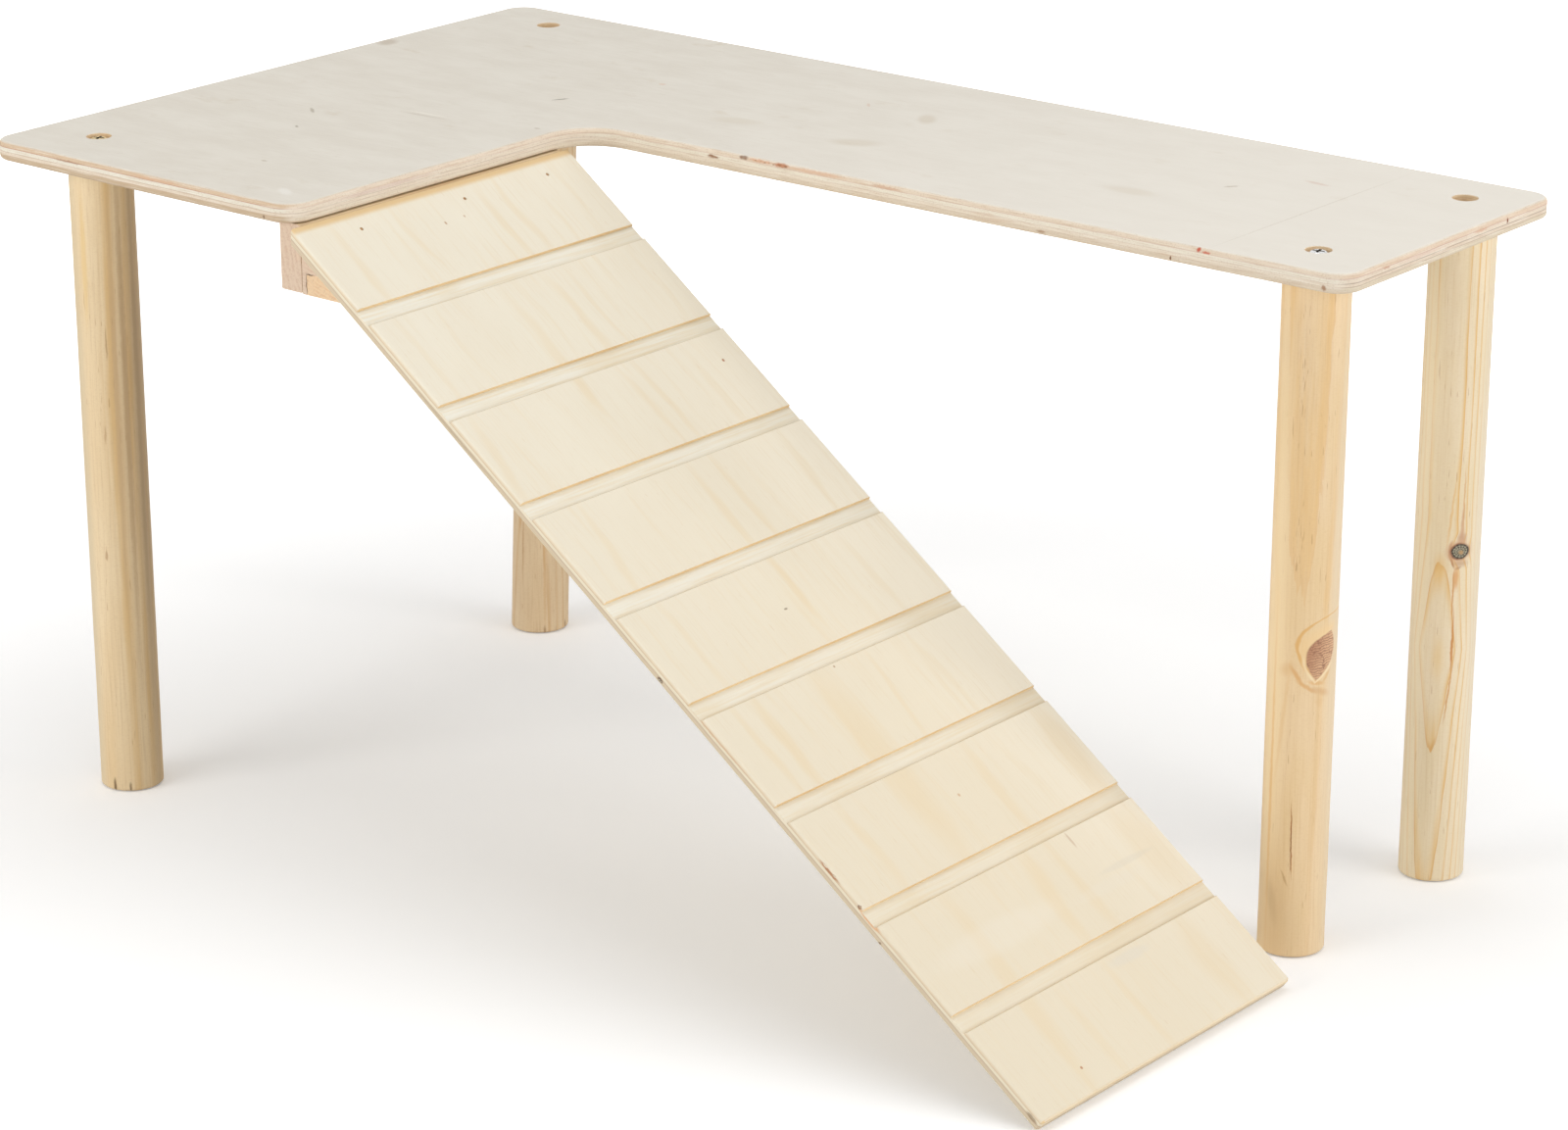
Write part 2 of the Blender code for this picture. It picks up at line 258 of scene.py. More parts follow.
def put(name, build, look):
    """An object from a finished bmesh, its faces pointing out and its round stretches shaded smooth."""
    bmesh.ops.recalc_face_normals(build, faces=build.faces)
    mesh = bpy.data.meshes.new(name)
    build.to_mesh(mesh)
    build.free()
    if look is not None:
        mesh.materials.append(look)
    piece = bpy.data.objects.new(name, mesh)
    bpy.context.collection.objects.link(piece)
    return shade(piece)


def shade(piece):
    piece.data.shade_smooth()
    piece.data.set_sharp_from_angle(angle=math.radians(SHARP))
    return piece


def loft(name, rings, look):
    """One closed solid through rings of equally many points, with a flat cap on the first and last."""
    build = bmesh.new()
    loops = [[build.verts.new(point) for point in ring] for ring in rings]
    for lower, upper in zip(loops, loops[1:]):
        for here in range(len(lower)):
            there = (here + 1) % len(lower)
            build.faces.new((lower[here], lower[there], upper[there], upper[here]))
    build.faces.new(list(reversed(loops[0])))
    build.faces.new(loops[-1])
    bmesh.ops.remove_doubles(build, verts=build.verts, dist=1e-7)
    return put(name, build, look)


def turned(name, profile, sides, look, centre=(0.0, 0.0), rough=0.0):
    """A solid turned about an upright axis from (radius, height) pairs, lowest first, a little uneven."""
    rings = []
    for radius, height in profile:
        ring = []
        for side in range(sides):
            angle = math.tau * side / sides
            x, y = math.cos(angle), math.sin(angle)
            reach = radius * (1 + rough * noise.noise(Vector((2.5 * x, 2.5 * y, height * 900))))
            ring.append((centre[0] + reach * x, centre[1] + reach * y, height))
        rings.append(ring)
    return loft(name, rings, look)


def carve(piece, cutters, overlapping=False, inside=None):
    """Cuts the cutters out of the piece and removes them. The cut faces may get a material of their own."""
    build = bmesh.new()
    for cutter in cutters:
        body = cutter.data
        body.transform(cutter.matrix_basis)
        build.from_mesh(body)
        bpy.data.objects.remove(cutter)
    tool = put("cutter", build, inside or piece.data.materials[0])
    step = piece.modifiers.new("carve", "BOOLEAN")
    step.operation = "DIFFERENCE"
    step.solver = "EXACT"
    step.material_mode = "TRANSFER"
    step.use_self = overlapping
    step.object = tool
    bpy.context.view_layer.update()
    carved = bpy.data.meshes.new_from_object(piece.evaluated_get(bpy.context.evaluated_depsgraph_get()))
    piece.modifiers.clear()
    piece.data = carved
    bpy.data.objects.remove(tool)
    return shade(piece)


def lump(centre, reach, turn=0.0):
    """A rough little egg, the shape of a knot or chip that has come out of the wood."""
    build = bmesh.new()
    bmesh.ops.create_icosphere(build, subdivisions=3, radius=1.0)
    for vert in build.verts:
        uneven = 1 + 0.45 * noise.noise(vert.co * 2.1 + Vector(centre) * 500)
        x, y, z = (part * size * uneven for part, size in zip(vert.co, reach))
        vert.co = (x * math.cos(turn) - y * math.sin(turn), x * math.sin(turn) + y * math.cos(turn), z)
    egg = put("lump", build, None)
    egg.location = centre
    return egg


def arc(centre, radius, start, end, steps):
    points = []
    for step in range(steps + 1):
        angle = math.radians(start + (end - start) * step / steps)
        points.append((centre[0] + radius * math.cos(angle), centre[1] + radius * math.sin(angle)))
    return points


def rounded_rectangle(width, height, radius, steps):
    """A rectangle from (0, 0) to (width, height) with round corners, counter-clockwise."""
    corners = ((width - radius, radius, 270), (width - radius, height - radius, 0),
               (radius, height - radius, 90), (radius, radius, 180))
    points = []
    for x, y, start in corners:
        points += arc((x, y), radius, start, start + 90, steps)
    return points


def worn(x, y, z, per_metre, most):
    """How far wear has taken a surface back at a place: from nothing to the most."""
    return most / 2 * (1 + noise.noise(Vector((x, y, z)) * per_metre))


def settle(piece, rotation, location):
    """Turns and moves a piece by that much for good, in its mesh."""
    piece.rotation_euler = rotation
    piece.location = location
    bpy.context.view_layer.update()
    piece.data.transform(piece.matrix_world)
    piece.rotation_euler = (0.0, 0.0, 0.0)
    piece.location = (0.0, 0.0, 0.0)
    return piece


def middle_of(node):
    low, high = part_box(node)
    return (low + high) / 2


def about_z(degrees):
    return (0.0, 0.0, math.radians(degrees))


def hand_over(piece, node):
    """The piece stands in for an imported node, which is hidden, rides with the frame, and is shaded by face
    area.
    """
    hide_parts(node)
    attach(piece, "root")
    even = piece.modifiers.new("even_shading", "WEIGHTED_NORMAL")
    even.keep_sharp = True
    return piece


# Deck: plies from the top face down in millimetres, with glue lines between them
PLY_STOPS = (0.50, 2.30, 4.40, 5.95, 8.55)
PLY_THICKNESS = DECK_TOP - UNDERSIDE
GLUE = 0.09
EDGE_STEPS = 7
CORNER_STEPS = 20
EDGE_SPACING = 0.005

# The edges that the photograph shows: where each starts, and which way it runs
EDGES = {
    "front": (Vector((LEFT, FRONT, DECK_TOP)), Vector((1, 0, 0))),
    "notch_side": (Vector((NOTCH_X, FRONT, DECK_TOP)), Vector((0, 1, 0))),
    "notch_back": (Vector((NOTCH_X, NOTCH_Y, DECK_TOP)), Vector((1, 0, 0))),
    "end": (Vector((RIGHT, NOTCH_Y, DECK_TOP)), Vector((0, 1, 0))),
}

DARK = (112, 76, 50)
BROWN = (158, 112, 76)
RUST = (186, 122, 84)
BLUSH = (216, 168, 134)

# Flaws of those edges, in millimetres: edge, distance along it, depth, half length and half height, and then
# colour and strength
FLAW_DEPTH = 1.6
EDGE_FLAWS = (
    ("front", 53, 2.4, 9.0, 0.5, BROWN, 0.55), ("front", 178, 7.0, 0.5, 0.9, DARK, 0.8),
    ("front", 110, 1.6, 14, 0.5, BLUSH, 0.5), ("notch_side", 60, 3.2, 30, 0.8, (220, 196, 186), 0.5),
    ("notch_back", 78, 3.4, 3.0, 0.7, BROWN, 0.8), ("notch_back", 96, 1.0, 2.4, 0.9, DARK, 0.7),
    ("notch_back", 106, 1.2, 7.0, 0.6, BLUSH, 0.8), ("notch_back", 118, 1.2, 4.0, 0.9, RUST, 0.9),
    ("notch_back", 138, 1.3, 16, 0.8, BLUSH, 0.55),
    ("notch_back", 178, 1.7, 8.0, 0.6, (206, 160, 128), 0.6),
    ("notch_back", 263, 7.2, 2.2, 0.6, BROWN, 0.6), ("notch_back", 331, 7.3, 0.5, 0.9, DARK, 0.85),
    ("notch_back", 345, 1.0, 1.0, 1.1, (196, 74, 44), 0.9),
    ("notch_back", 349, 1.8, 2.0, 0.5, (206, 92, 60), 0.8), ("notch_back", 408, 6.6, 1.0, 1.1, BROWN, 0.8),
    ("end", 31, 2.6, 2.4, 0.5, RUST, 0.5), ("end", 107, 2.6, 5.0, 0.5, BLUSH, 0.6),
    ("end", 129, 2.9, 0.6, 1.2, (140, 66, 46), 0.9), ("end", 60, 3.2, 16, 0.8, (222, 194, 176), 0.5),
)

# Knots and chips that have come out of the edges: edge, distance along it, depth down it, half length, half
# height and how deep they go in
EDGE_VOIDS = (
    ("notch_back", 77, 3.2, 1.1, 0.35, 0.25), ("notch_back", 80, 3.6, 0.8, 0.3, 0.25),
    ("notch_back", 94.5, 0.9, 0.8, 0.4, 0.35), ("notch_back", 97, 1.3, 0.5, 0.3, 0.3),
    ("notch_back", 100, 0.9, 0.4, 0.25, 0.3), ("notch_back", 103, 1.2, 0.5, 0.25, 0.3),
    ("notch_back", 106, 1.0, 0.4, 0.25, 0.3), ("notch_back", 108.5, 1.4, 0.5, 0.25, 0.3),
    ("notch_back", 111, 1.1, 0.4, 0.25, 0.3), ("notch_back", 113.5, 1.5, 0.5, 0.25, 0.3),
    ("notch_back", 117, 1.1, 1.1, 0.35, 0.35), ("notch_back", 120.5, 1.3, 0.8, 0.45, 0.35),
    ("notch_back", 331, 7.3, 0.3, 0.7, 0.4), ("end", 129, 2.9, 0.35, 0.9, 0.4),
)
# Where a chip is gone at the round front left corner: degrees round it, and then as above
CORNER_CHIP = (238, 1.7, 0.7, 0.6, 0.5)

# Marks on the top face: place, half length, half width in millimetres, turn in degrees, colour, strength
TOP_MARKS = (
    (-152.5, 39.7, 3.6, 0.7, 60, (120, 104, 84), 0.8), (-229, -50, 4.6, 0.8, -40, (150, 136, 112), 0.55),
    (-212.5, -77, 1.8, 0.8, -40, (142, 126, 102), 0.6), (186.8, 104.7, 3.0, 1.0, 50, (184, 168, 144), 0.6),
    (-31.5, 123, 3.0, 0.8, -50, (214, 184, 160), 0.5), (-134.8, 93.7, 1.6, 1.4, 0, (220, 188, 164), 0.6),
    (-123, -9.7, 1.4, 0.8, 20, (170, 152, 126), 0.6), (-178.8, -132, 1.6, 1.0, 0, (176, 158, 130), 0.5),
    (-182, -21, 10, 1.0, 4, (246, 240, 228), 0.5), (-181, -24.5, 12, 0.7, 4, (196, 184, 166), 0.5),
    (-133, -165, 6, 2.6, -30, (242, 238, 230), 0.6), (213.5, 133, 6, 1.4, -8, (216, 188, 168), 0.45),
    (-300, 76, 4.5, 6, 20, (176, 156, 132), 0.5), (236.8, 92, 70, 0.35, 90, (206, 194, 176), 0.4),
    (8, 62, 11, 6, 20, (214, 202, 182), 0.5), (7, 118, 8, 4, -55, (208, 194, 172), 0.5),
    (-60, 60, 12, 5, 15, (218, 208, 190), 0.5), (156, 70, 12, 5, 0, (220, 208, 188), 0.4),
)


def edge_spot(name, along, down, length, tall, thick):
    """The centre of a spot on an edge, and its reach, from millimetres."""
    start, way = EDGES[name]
    centre = start + way * along * MM - Vector((0, 0, down * MM))
    reach = Vector((thick, thick, tall)) + Vector((abs(way.x), abs(way.y), 0)) * (length - thick)
    return centre, reach


def ply_bands(look, depth, face, plies, glues):
    """The colours of a laminated edge by depth in millimetres, with thin glue lines between the plies."""
    total = PLY_THICKNESS / MM
    stops = [(0.0, face), ((PLY_STOPS[0] - 0.2) / total, face), ((PLY_STOPS[0] + 0.2) / total, plies[0])]
    for edge, above, line, below in zip(PLY_STOPS[1:], plies, glues, plies[1:]):
        stops += [((edge - 2.2 * GLUE) / total, above), ((edge - GLUE / 2) / total, line),
                  ((edge + GLUE / 2) / total, line), ((edge + 2.2 * GLUE) / total, below)]
    return look.bands(look.math("DIVIDE", depth, total), stops)


def deck_face_paint(look, x, rough, fibre):
    """The upper face: faint clouds, smudges and pores, painted light that makes it lighter towards the right
    end, and the marks that the photograph shows.
    """
    place = look.place
    cloud = look.noise(place, (22, 55, 22), detail=4.0, roughness=0.62)
    smudge = look.noise(place, (45, 70, 45), detail=3.0, roughness=0.6)
    pore = look.noise(place, (110, 1900, 500), detail=1.0)
    face = look.mix(look.fade(cloud, 0.30, 0.70), (224, 217, 204), (230, 224, 212))
    face = look.tint(face, smudge, 0.62, 0.80, 0.55, (212, 200, 180))
    face = look.tint(face, fibre, 0.50, 0.80, 0.28, (206, 194, 174))
    face = look.tint(face, pore, 0.68, 0.80, 0.30, (184, 168, 142))
    # Painted light: the face gets lighter towards the right end.
    face = look.tint(face, x, -0.22, RIGHT, 0.62, (245, 239, 228))
    for mark_x, mark_y, length, width, turn, paint, strength in TOP_MARKS:
        centre, reach = (mark_x * MM, mark_y * MM, DECK_TOP), (length * MM, width * MM, 0.004)
        face = look.mark(face, rough, centre, reach, paint, strength, 0.5, about_z(turn))
    return face


def deck_edge_paint(look, x, lean_x, depth, streak, rough):
    """The laminated edge: the plies as they show along X and along Y, with streaks, knots and flaws."""
    place = look.place
    along_x = ply_bands(look, depth, (224, 215, 200),
                        ((216, 190, 160), (234, 227, 210), (228, 213, 192), (200, 177, 147), (206, 188, 162)),
                        ((186, 128, 104), (200, 174, 148), (208, 184, 156), (180, 156, 126)))
    beyond_notch = look.fade(x, NOTCH_X - CORNER_RADIUS / 2, NOTCH_X + CORNER_RADIUS / 2, 0.0, 0.5)
    along_x = look.mix(beyond_notch, along_x, (244, 234, 217))
    along_y = ply_bands(look, depth, (229, 220, 206),
                        ((228, 206, 182), (230, 215, 196), (226, 210, 190), (220, 206, 182), (214, 198, 170)),
                        ((200, 156, 138), (158, 136, 118), (184, 162, 138), (196, 176, 146)))
    along_y = look.mix(look.fade(x, NOTCH_X, NOTCH_X + 0.03, 0.5, 0.0), along_y, (246, 234, 216))
    edge = look.mix(look.fade(look.math("ABSOLUTE", lean_x), 0.45, 0.85), along_x, along_y)
    edge = look.tint(edge, streak, 0.45, 0.75, 0.45, (190, 158, 126))
    chalk = look.noise(look.vector("ADD", place, (3.0, 1.0, 0.0)), (60, 60, 1500))
    edge = look.tint(edge, chalk, 0.50, 0.75, 0.5, (244, 236, 222))
    blotch = look.noise(place, (38, 38, 260), detail=3.0)
    edge = look.tint(edge, blotch, 0.58, 0.78, 0.34, (210, 174, 142))
    speckle = look.noise(place, (1300, 1300, 1700))
    edge = look.tint(edge, speckle, 0.52, 0.72, 0.34, (188, 160, 130))
    for name, along, down, length, tall, paint, strength in EDGE_FLAWS:
        centre, reach = edge_spot(name, along, down, length, tall, FLAW_DEPTH)
        edge = look.mark(edge, rough, centre, reach * MM, paint, strength, 0.45)
    for void in EDGE_VOIDS:
        centre, reach = edge_spot(*void)
        edge = look.mark(edge, place, centre, reach * 1.25 * MM, (150, 102, 66), 0.75, 0.4)
    return look.mark(edge, rough, corner_chip_place(), (0.0009, 0.0009, 0.0008), DARK, 0.9)


def deck_look():
    look = Look("deck_plywood", 0.60)
    place = look.place
    x, y, z = look.split(place)
    lean_x, lean_y, lean_z = look.split(look.normal)
    rough = look.ragged(place, (600, 600, 600), 0.0012)
    fibre = look.noise(place, (60, 1100, 300), detail=3.0, roughness=0.6)
    streak = look.noise(place, (70, 70, 2300), detail=3.0, roughness=0.65)
    wander = look.noise(place, (22, 22, 0))
    depth = look.times(look.minus(DECK_TOP, z), 1 / MM)
    depth = look.plus(depth, look.times_plus(wander, 0.7, -0.35))
    face = deck_face_paint(look, x, rough, fibre)
    edge = deck_edge_paint(look, x, lean_x, depth, streak, rough)
    paint = look.mix(look.fade(look.math("ABSOLUTE", lean_z), 0.86, 0.985), edge, face)
    drilled = look.mix(look.fade(streak, 0.4, 0.7), (238, 214, 178), (218, 184, 142))
    inside = look.fade(depth, 0.10, 0.25)
    for name in LEG_NAMES:
        middle = leg_top(name)
        away = look.away(place, (middle.x, middle.y, 0.0), (COUNTERBORE, COUNTERBORE, 100.0))
        paint = look.mix(look.times(inside, look.fade(away, 1.15, 1.30, 1.0, 0.0)), paint, drilled)
    height = look.plus(look.times(fibre, 0.6), look.times(streak, 0.5))
    return look.finish(paint, height, 0.00010)


def deck_path():
    """Points round the deck's edge, each with the way that the edge faces there."""
    corners = (
        ((LEFT + CORNER_RADIUS, FRONT + CORNER_RADIUS), CORNER_RADIUS, 180, 270, 1),
        ((NOTCH_X - CORNER_RADIUS, FRONT + CORNER_RADIUS), CORNER_RADIUS, 270, 360, 1),
        ((NOTCH_X + NOTCH_RADIUS, NOTCH_Y - NOTCH_RADIUS), NOTCH_RADIUS, 180, 90, -1),
        ((RIGHT - CORNER_RADIUS, NOTCH_Y + CORNER_RADIUS), CORNER_RADIUS, 270, 360, 1),
        ((RIGHT - CORNER_RADIUS, BACK - CORNER_RADIUS), CORNER_RADIUS, 0, 90, 1),
        ((LEFT + CORNER_RADIUS, BACK - CORNER_RADIUS), CORNER_RADIUS, 90, 180, 1),
    )
    turns = []
    for centre, radius, start, end, side in corners:
        turn = []
        for point in arc(centre, radius, start, end, CORNER_STEPS):
            facing = (Vector(point) - Vector(centre)).normalized() * side
            turn.append((Vector(point), facing))
        turns.append(turn)
    path = []
    for turn, following in zip(turns, turns[1:] + turns[:1]):
        path += turn
        (start, facing), end = turn[-1], following[0][0]
        steps = int((end - start).length / EDGE_SPACING)
        for step in range(1, steps):
            path.append((start.lerp(end, step / steps), facing))
    return path


def make_deck(look):
    """The plywood L: rounded and slightly worn edges, counterbored screw holes, and voids in its edge."""
    section = arc((0.0, UNDERSIDE + EDGE_ROUNDING), EDGE_ROUNDING, -90, 0, EDGE_STEPS)
    section += arc((0.0, DECK_TOP - EDGE_ROUNDING), EDGE_ROUNDING, 0, 90, EDGE_STEPS)
    path = deck_path()
    rings = []
    for reach, height in section:
        ring = []
        for point, facing in path:
            back = EDGE_ROUNDING - reach + worn(*point, height, 90, WEAR)
            ring.append((*(point - facing * back), height))
        rings.append(ring)
    deck = loft("deck_board", rings, look)
    cutters = []
    for name in LEG_NAMES:
        middle = leg_top(name)
        floor = leg_screw_seat(name) - CLEARANCE
        hole = (LEG_SCREW["shank"] + SCREW_PLAY) / 2
        profile = [(hole, UNDERSIDE - OVERRUN), (hole, floor), (COUNTERBORE, floor),
                   (COUNTERBORE, DECK_TOP - BROKEN_RIM), (COUNTERBORE + BROKEN_RIM, DECK_TOP + 0.05 * MM),
                   (COUNTERBORE + 0.4 * MM, DECK_TOP + OVERRUN)]
        cutters.append(turned("bore", profile, 72, None, (middle.x, middle.y), 0.012))
    for number in BATTEN_SCREWS:
        x, y, seat, point = batten_screw_place(number)
        radius = BATTEN_SCREW["shank"] / 2 + CLEARANCE
        profile = [(radius, UNDERSIDE - OVERRUN), (radius, point + CLEARANCE)]
        cutters.append(turned("pilot", profile, 24, None, (x, y)))
    for void in EDGE_VOIDS:
        centre, reach = edge_spot(*void)
        cutters.append(lump(centre, reach * MM))
    degrees, down, wide, tall, deep = CORNER_CHIP
    cutters.append(lump(corner_chip_place(), Vector((deep, wide, tall)) * MM, math.radians(degrees)))
    return carve(deck, cutters, overlapping=True)


def corner_chip_place():
    degrees, down = CORNER_CHIP[:2]
    x, y = arc((LEFT + CORNER_RADIUS, FRONT + CORNER_RADIUS), CORNER_RADIUS, degrees, degrees, 1)[0]
    return Vector((x, y, DECK_TOP - down * MM))


# How finely the dowels and the sawn strips are divided
LEG_SIDES = 120
LEG_RING_SPACING = 0.002
STRIP_RING_SPACING = 0.004


def leg_top(name):
    return middle_of("leg_screw_" + name)


def leg_screw_seat(name):
    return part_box("leg_screw_" + name)[0].z + LEG_SCREW["length"]


def batten_screw_place(number):
    """A batten screw's place in X and Y, the height of its head's seat and the height of its point."""
    low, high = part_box("batten_screw_" + str(number))
    middle = (low + high) / 2
    return middle.x, middle.y, low.z + BATTEN_SCREW["rise"], high.z


def leg_axis(name):
    """The middle of a leg's foot and of its top end."""
    low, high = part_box("leg_" + name)
    top = leg_top(name)
    top.z = high.z
    foot = low + high - top
    foot.z = 0.0
    return foot, top


def leg_facing(degrees):
    """The way out of a leg that many degrees to the right of straight at the camera."""
    angle = math.radians(CAMERA_AZIMUTH - 90 + degrees)
    return Vector((math.cos(angle), math.sin(angle), 0.0))


def slit(name, degrees, low, high, width, deep, open_foot=False):
    """A cutter for a drying crack: a thin wedge that runs up a leg and closes at its ends."""
    foot, top = leg_axis(name)
    rings = []
    steps = 12
    for step in range(steps + 1):
        share = step / steps
        z = low + (high - low) * share
        open_share = (1 - share) if open_foot else math.sin(math.pi * min(max(share, 0.03), 0.97))
        wander = 0.6 * width * noise.noise(Vector((z * 300, degrees, 0.0)))
        out = leg_facing(degrees)
        side = Vector((-out.y, out.x, 0.0))
        axis = foot.lerp(top, z / top.z)
        half = width * (0.06 + 0.94 * open_share)
        tip = LEG_RADIUS - deep * (0.15 + 0.85 * open_share)
        ring = []
        for reach, shift in ((tip, 0.0), (LEG_RADIUS + MM, half), (LEG_RADIUS + MM, -half)):
            point = axis + out * reach + side * (shift + wander)
            ring.append((point.x, point.y, z))
        rings.append(ring)
    return loft("slit", rings, None)


def make_leg(name, look, dents=(), cracks=()):
    """A dowel, slightly uneven from the lathe: eased ends, a pilot hole for its screw, and drying cracks."""
    foot, top = leg_axis(name)
    count = int(top.z / LEG_RING_SPACING)
    eased = ((1.0, 0.0), (0.45, 0.25), (0.12, 0.6))
    rows = [(LEG_END_EASE * inward, LEG_END_EASE * up) for inward, up in eased]
    rows += [(0.0, LEG_END_EASE + (top.z - 2 * LEG_END_EASE) * step / count) for step in range(count + 1)]
    rows += [(LEG_END_EASE, top.z)]
    rings = []
    for ease, z in rows:
        axis = foot.lerp(top, z / top.z)
        ring = []
        for side in range(LEG_SIDES):
            degrees = 360 * side / LEG_SIDES
            out = leg_facing(degrees)
            radius = LEG_RADIUS - ease - worn(out.x * LEG_RADIUS, out.y * LEG_RADIUS, z / 4, 160, WEAR)
            for where, height, wide, tall, deep in dents:
                off = (degrees - where + 180) % 360 - 180
                radius -= deep * math.exp(-(off / wide) ** 2 - ((z - height) / tall) ** 2)
            point = axis + out * radius
            ring.append((point.x, point.y, z))
        rings.append(ring)
    leg = loft("dowel_" + name, rings, look)
    pilot = LEG_SCREW["shank"] / 2 + CLEARANCE
    low = leg_screw_seat(name) - LEG_SCREW["length"] - CLEARANCE
    cutters = [turned("pilot", [(pilot, low), (pilot, top.z + OVERRUN)], 24, None, (top.x, top.y))]
    cutters += [slit(name, *crack) for crack in cracks]
    return carve(leg, cutters)


# How each leg's growth rings run: the middle of the flat-sawn arches in degrees to the right of the camera,
# the spacing of the rings, how far out one lies at the arches' height, that height, how fast the rings move
# out above and below it, the power and the softness of that, how high it goes on, and how frayed they are
RINGS = {
    "front_left": dict(facing=-30, spacing=7.5, out=13.6, height=0.20, up=-0.010, down=-0.012,
                       power=1.0, soft=0.03, reach=0.2, frayed=0.6),
    "front_right": dict(facing=-13, spacing=6.2, out=14.93, height=0.168, up=-0.0124, down=0.0083,
                        power=0.612, soft=0.004, reach=0.2, frayed=2.6),
    "back_right": dict(facing=-19, spacing=2.4, out=12.43, height=0.1135, up=0.01656, down=0.01656,
                       power=0.577, soft=0.010, reach=0.062, frayed=0.2),
    "back_left": dict(facing=-20, spacing=3.9, out=14.1, height=0.10, up=0.0, down=-0.004,
                      power=1.0, soft=0.03, reach=0.2, frayed=0.3),
}
# The count at which the outermost ring ends, so that no new one starts as a dot inside the arches
LAST_RING = 20.99


def pine_layers(look, place, facing, spacing, out, height, up, down, power, soft, reach, frayed):
    """How many growth rings a place in a leg lies from the leg's middle."""
    towards, aside, z = look.split(look.local(place, (0.0, 0.0, 0.0), about_z(facing)))
    rise = look.math("MINIMUM", look.minus(z, height), reach)
    move = 0.0
    for way, rate in ((1.0, up), (-1.0, down)):
        gone = look.math("MAXIMUM", look.times(rise, way), 0.0)
        rounded = look.math("SQRT", look.times_plus(gone, gone, soft * soft))
        gone = look.minus(rounded, soft)
        move = look.times_plus(look.math("POWER", gone, power), rate, move)
    bend = look.noise(place, (30, 30, 9))
    wobble = look.noise(place, (140, 140, 22))
    layer = look.times(look.minus(towards, move), 1 / (spacing * MM))
    layer = look.plus(layer, 20 - out / spacing)
    fray = look.noise(place, (480, 480, 55))
    layer = look.times_plus(look.minus(bend, 0.5), 1.3 / spacing, layer)
    layer = look.times_plus(look.minus(fray, 0.5), frayed / spacing, layer)
    return look.times_plus(look.minus(wobble, 0.5), 0.9 / spacing, layer)


def on_leg(degrees, z, out=LEG_RADIUS):
    """A place on a leg's surface, in its own frame that faces the camera."""
    angle = math.radians(degrees)
    return (out * math.cos(angle), out * math.sin(angle), z)


def leg_spot(degrees, z, wide, tall, tilt=0.0, thick=6.0):
    """The centre, reach and turn of a spot on a leg's surface, its size from millimetres."""
    reach = Vector((thick, wide, tall)) * MM
    return on_leg(degrees, z), reach, (math.radians(tilt), 0.0, math.radians(degrees))


def pine_look(name, woods, late, profile, rim, rim_share, low_share=1.0, knots=(), marks=(), dashes=()):
    """Pine with growth rings through the solid: arches where they run flat to the surface, lines elsewhere.

    The rings bend round each knot. Knots, marks and the zones of dark dashes are placed by degrees to the
    right of the camera and by height. The profile says where the dark late wood starts and ends in each ring,
    the rim and its share are the colour and strength of its sharp border, and the low share is its strength
    below the arches.
    """
    look = Look("pine_" + name, 0.52)
    foot, top = leg_axis(name)
    middle = (foot + top) / 2
    place = look.local(look.place, (middle.x, middle.y, 0.0), about_z(CAMERA_AZIMUTH - 90))
    layer = pine_layers(look, place, **RINGS[name])
    for knot in knots:
        away = look.away(place, *leg_spot(knot["at"], knot["height"], knot["wide"], knot["tall"], thick=8.0))
        layer = look.plus(layer, look.fade(away, 0.6, knot["spread"], knot["push"], 0.0))
    ring = look.math("FRACT", look.math("MINIMUM", layer, LAST_RING))
    rise_low, rise_high, fall_low, fall_high = profile
    late_share = look.times(look.fade(ring, rise_low, rise_high),
                            look.fade(ring, fall_low, fall_high, 1.0, 0.0))
    fibre = look.noise(place, (1300, 1300, 30), detail=3.0, roughness=0.62)
    fleck = look.noise(place, (1150, 1150, 110), detail=1.0)
    cloud = look.noise(place, (60, 60, 14), detail=3.0)
    paint = look.mix(look.fade(cloud, 0.35, 0.68), woods[0], woods[1])
    uneven = look.noise(place, (260, 260, 14))
    arches = RINGS[name]["height"]
    strength = look.times(look.fade(uneven, 0.32, 0.66, 0.40, 1.0),
                          look.fade(look.split(place)[2], arches - 0.02, arches + 0.005, low_share, 1.0))
    late_share = look.times(late_share, strength)
    paint = look.mix(late_share, paint, late)
    border = look.times(look.fade(ring, 0.0, 0.02), look.fade(ring, 0.03, 0.11, rim_share, 0.0))
    paint = look.mix(look.times(border, strength), paint, rim)
    paint = look.tint(paint, fibre, 0.42, 0.80, 0.42, woods[2])
    paint = look.tint(paint, fleck, 0.68, 0.80, 0.45, (178, 132, 84))
    fuzz = look.noise(place, (700, 700, 1300))
    paint = look.tint(paint, fuzz, 0.45, 0.75, 0.16, woods[2])
    paint = draw_leg_marks(look, place, paint, marks, dashes)
    for knot in knots:
        paint = knot["draw"](look, place, paint, knot)
    height = look.plus(look.times(fibre, 0.6), look.times(late_share, 0.3))
    return look.finish(paint, height, 0.00010)


